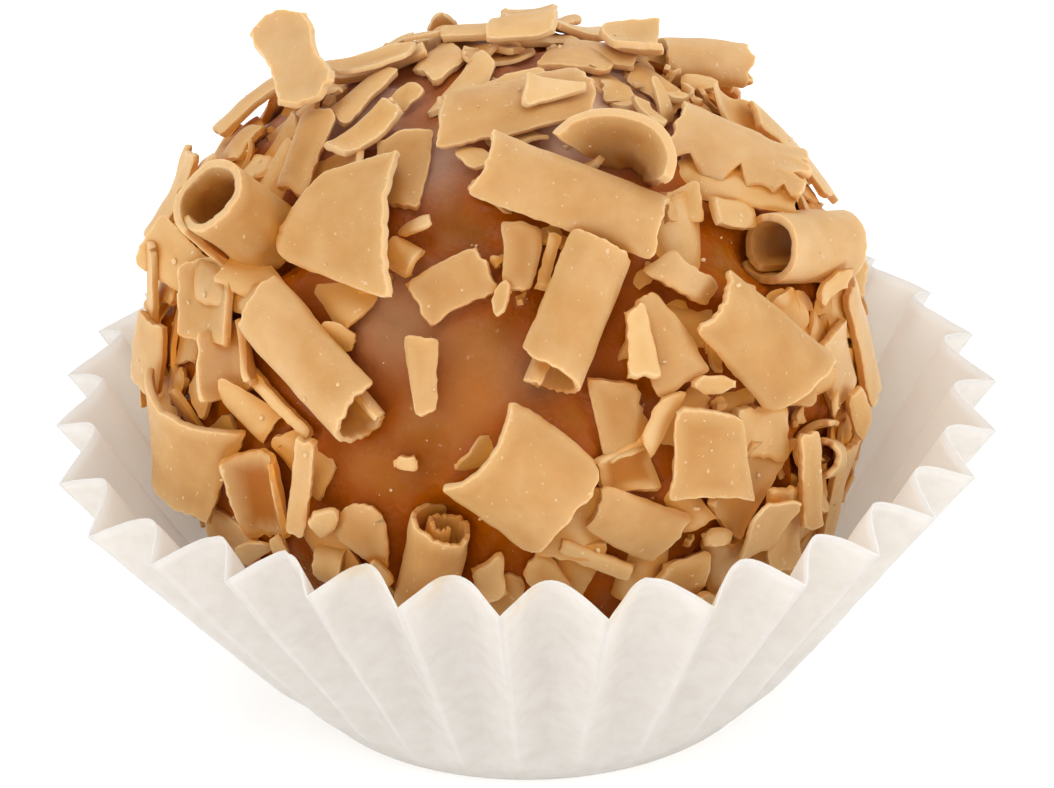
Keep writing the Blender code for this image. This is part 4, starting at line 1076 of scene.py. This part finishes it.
# ------------------------------------------------------------------- stage
bpy.ops.mesh.primitive_plane_add(size=4.0, location=(0, 0, 0))
floor = bpy.context.object
floor.name = "floor"
floor_mat, floor_tree = new_material("pale_floor")
fn = Nodes(floor_tree)
floor_shader = fn.add("ShaderNodeBsdfPrincipled")
floor_shader.inputs["Base Color"].default_value = (0.93, 0.93, 0.93, 1)
floor_shader.inputs["Roughness"].default_value = 0.9
floor_shader.inputs["Specular IOR Level"].default_value = 0.1
floor_shader.inputs["Emission Color"].default_value = (1.0, 1.0, 1.0, 1)
floor_shader.inputs["Emission Strength"].default_value = 0.30
fn.link(floor_shader.outputs[0], fn.add("ShaderNodeOutputMaterial").inputs[0])
floor.data.materials.append(floor_mat)

world = bpy.data.worlds.new("soft_studio")
bpy.context.scene.world = world
world.use_nodes = True
world.node_tree.nodes["Background"].inputs[0].default_value = (1.0, 0.995, 0.985, 1)
world.node_tree.nodes["Background"].inputs[1].default_value = 0.50


def area_light(name, spot, size, power, colour=(1.0, 1.0, 1.0)):
    data = bpy.data.lights.new(name, "AREA")
    data.shape = "DISK"
    data.size = size
    data.energy = power
    data.color = colour
    obj = bpy.data.objects.new(name, data)
    bpy.context.scene.collection.objects.link(obj)
    obj.location = spot
    obj.rotation_euler = (Vector((0, 0, 0.016)) - Vector(spot)).to_track_quat("-Z", "Y").to_euler()
    return obj


area_light("key", (-0.12, -0.22, 0.58), 0.34, 0.86, (1.0, 0.985, 0.96))
area_light("right_top", (0.24, 0.02, 0.52), 0.40, 0.42)
area_light("back", (0.05, 0.50, 0.42), 0.40, 1.05)
area_light("front", (-0.10, -0.62, 0.14), 0.40, 0.88)
area_light("fill_left", (-0.5, -0.30, 0.28), 0.4, 1.00)
area_light("fill_right", (0.52, -0.2, 0.24), 0.4, 1.15)

# ------------------------------------------------------------------ camera
elevation, distance = math.radians(27.5), 0.450
cam_data = bpy.data.cameras.new("camera")
cam = bpy.data.objects.new("camera", cam_data)
bpy.context.scene.collection.objects.link(cam)
look = Vector((0, math.cos(elevation), -math.sin(elevation)))
right = Vector((1, 0, 0))
upward = right.cross(look)
aim = Vector((-0.000034 + CASE_SHIFT[0] * MM, CASE_SHIFT[1] * MM, 0.015604))
spin = Matrix((right, upward, -look)).transposed() @ Matrix.Rotation(math.radians(-1.474), 3, "Z")
cam.matrix_world = Matrix.Translation(aim - look * distance) @ spin.to_4x4()
cam_data.sensor_width = 36.0
cam_data.lens = 19.97 * 450.0 / 1054.0 * 36.0
cam_data.clip_start, cam_data.clip_end = 0.01, 20.0
bpy.context.scene.camera = cam
bpy.context.scene.view_settings.view_transform = "Standard"
bpy.context.scene.view_settings.look = "None"
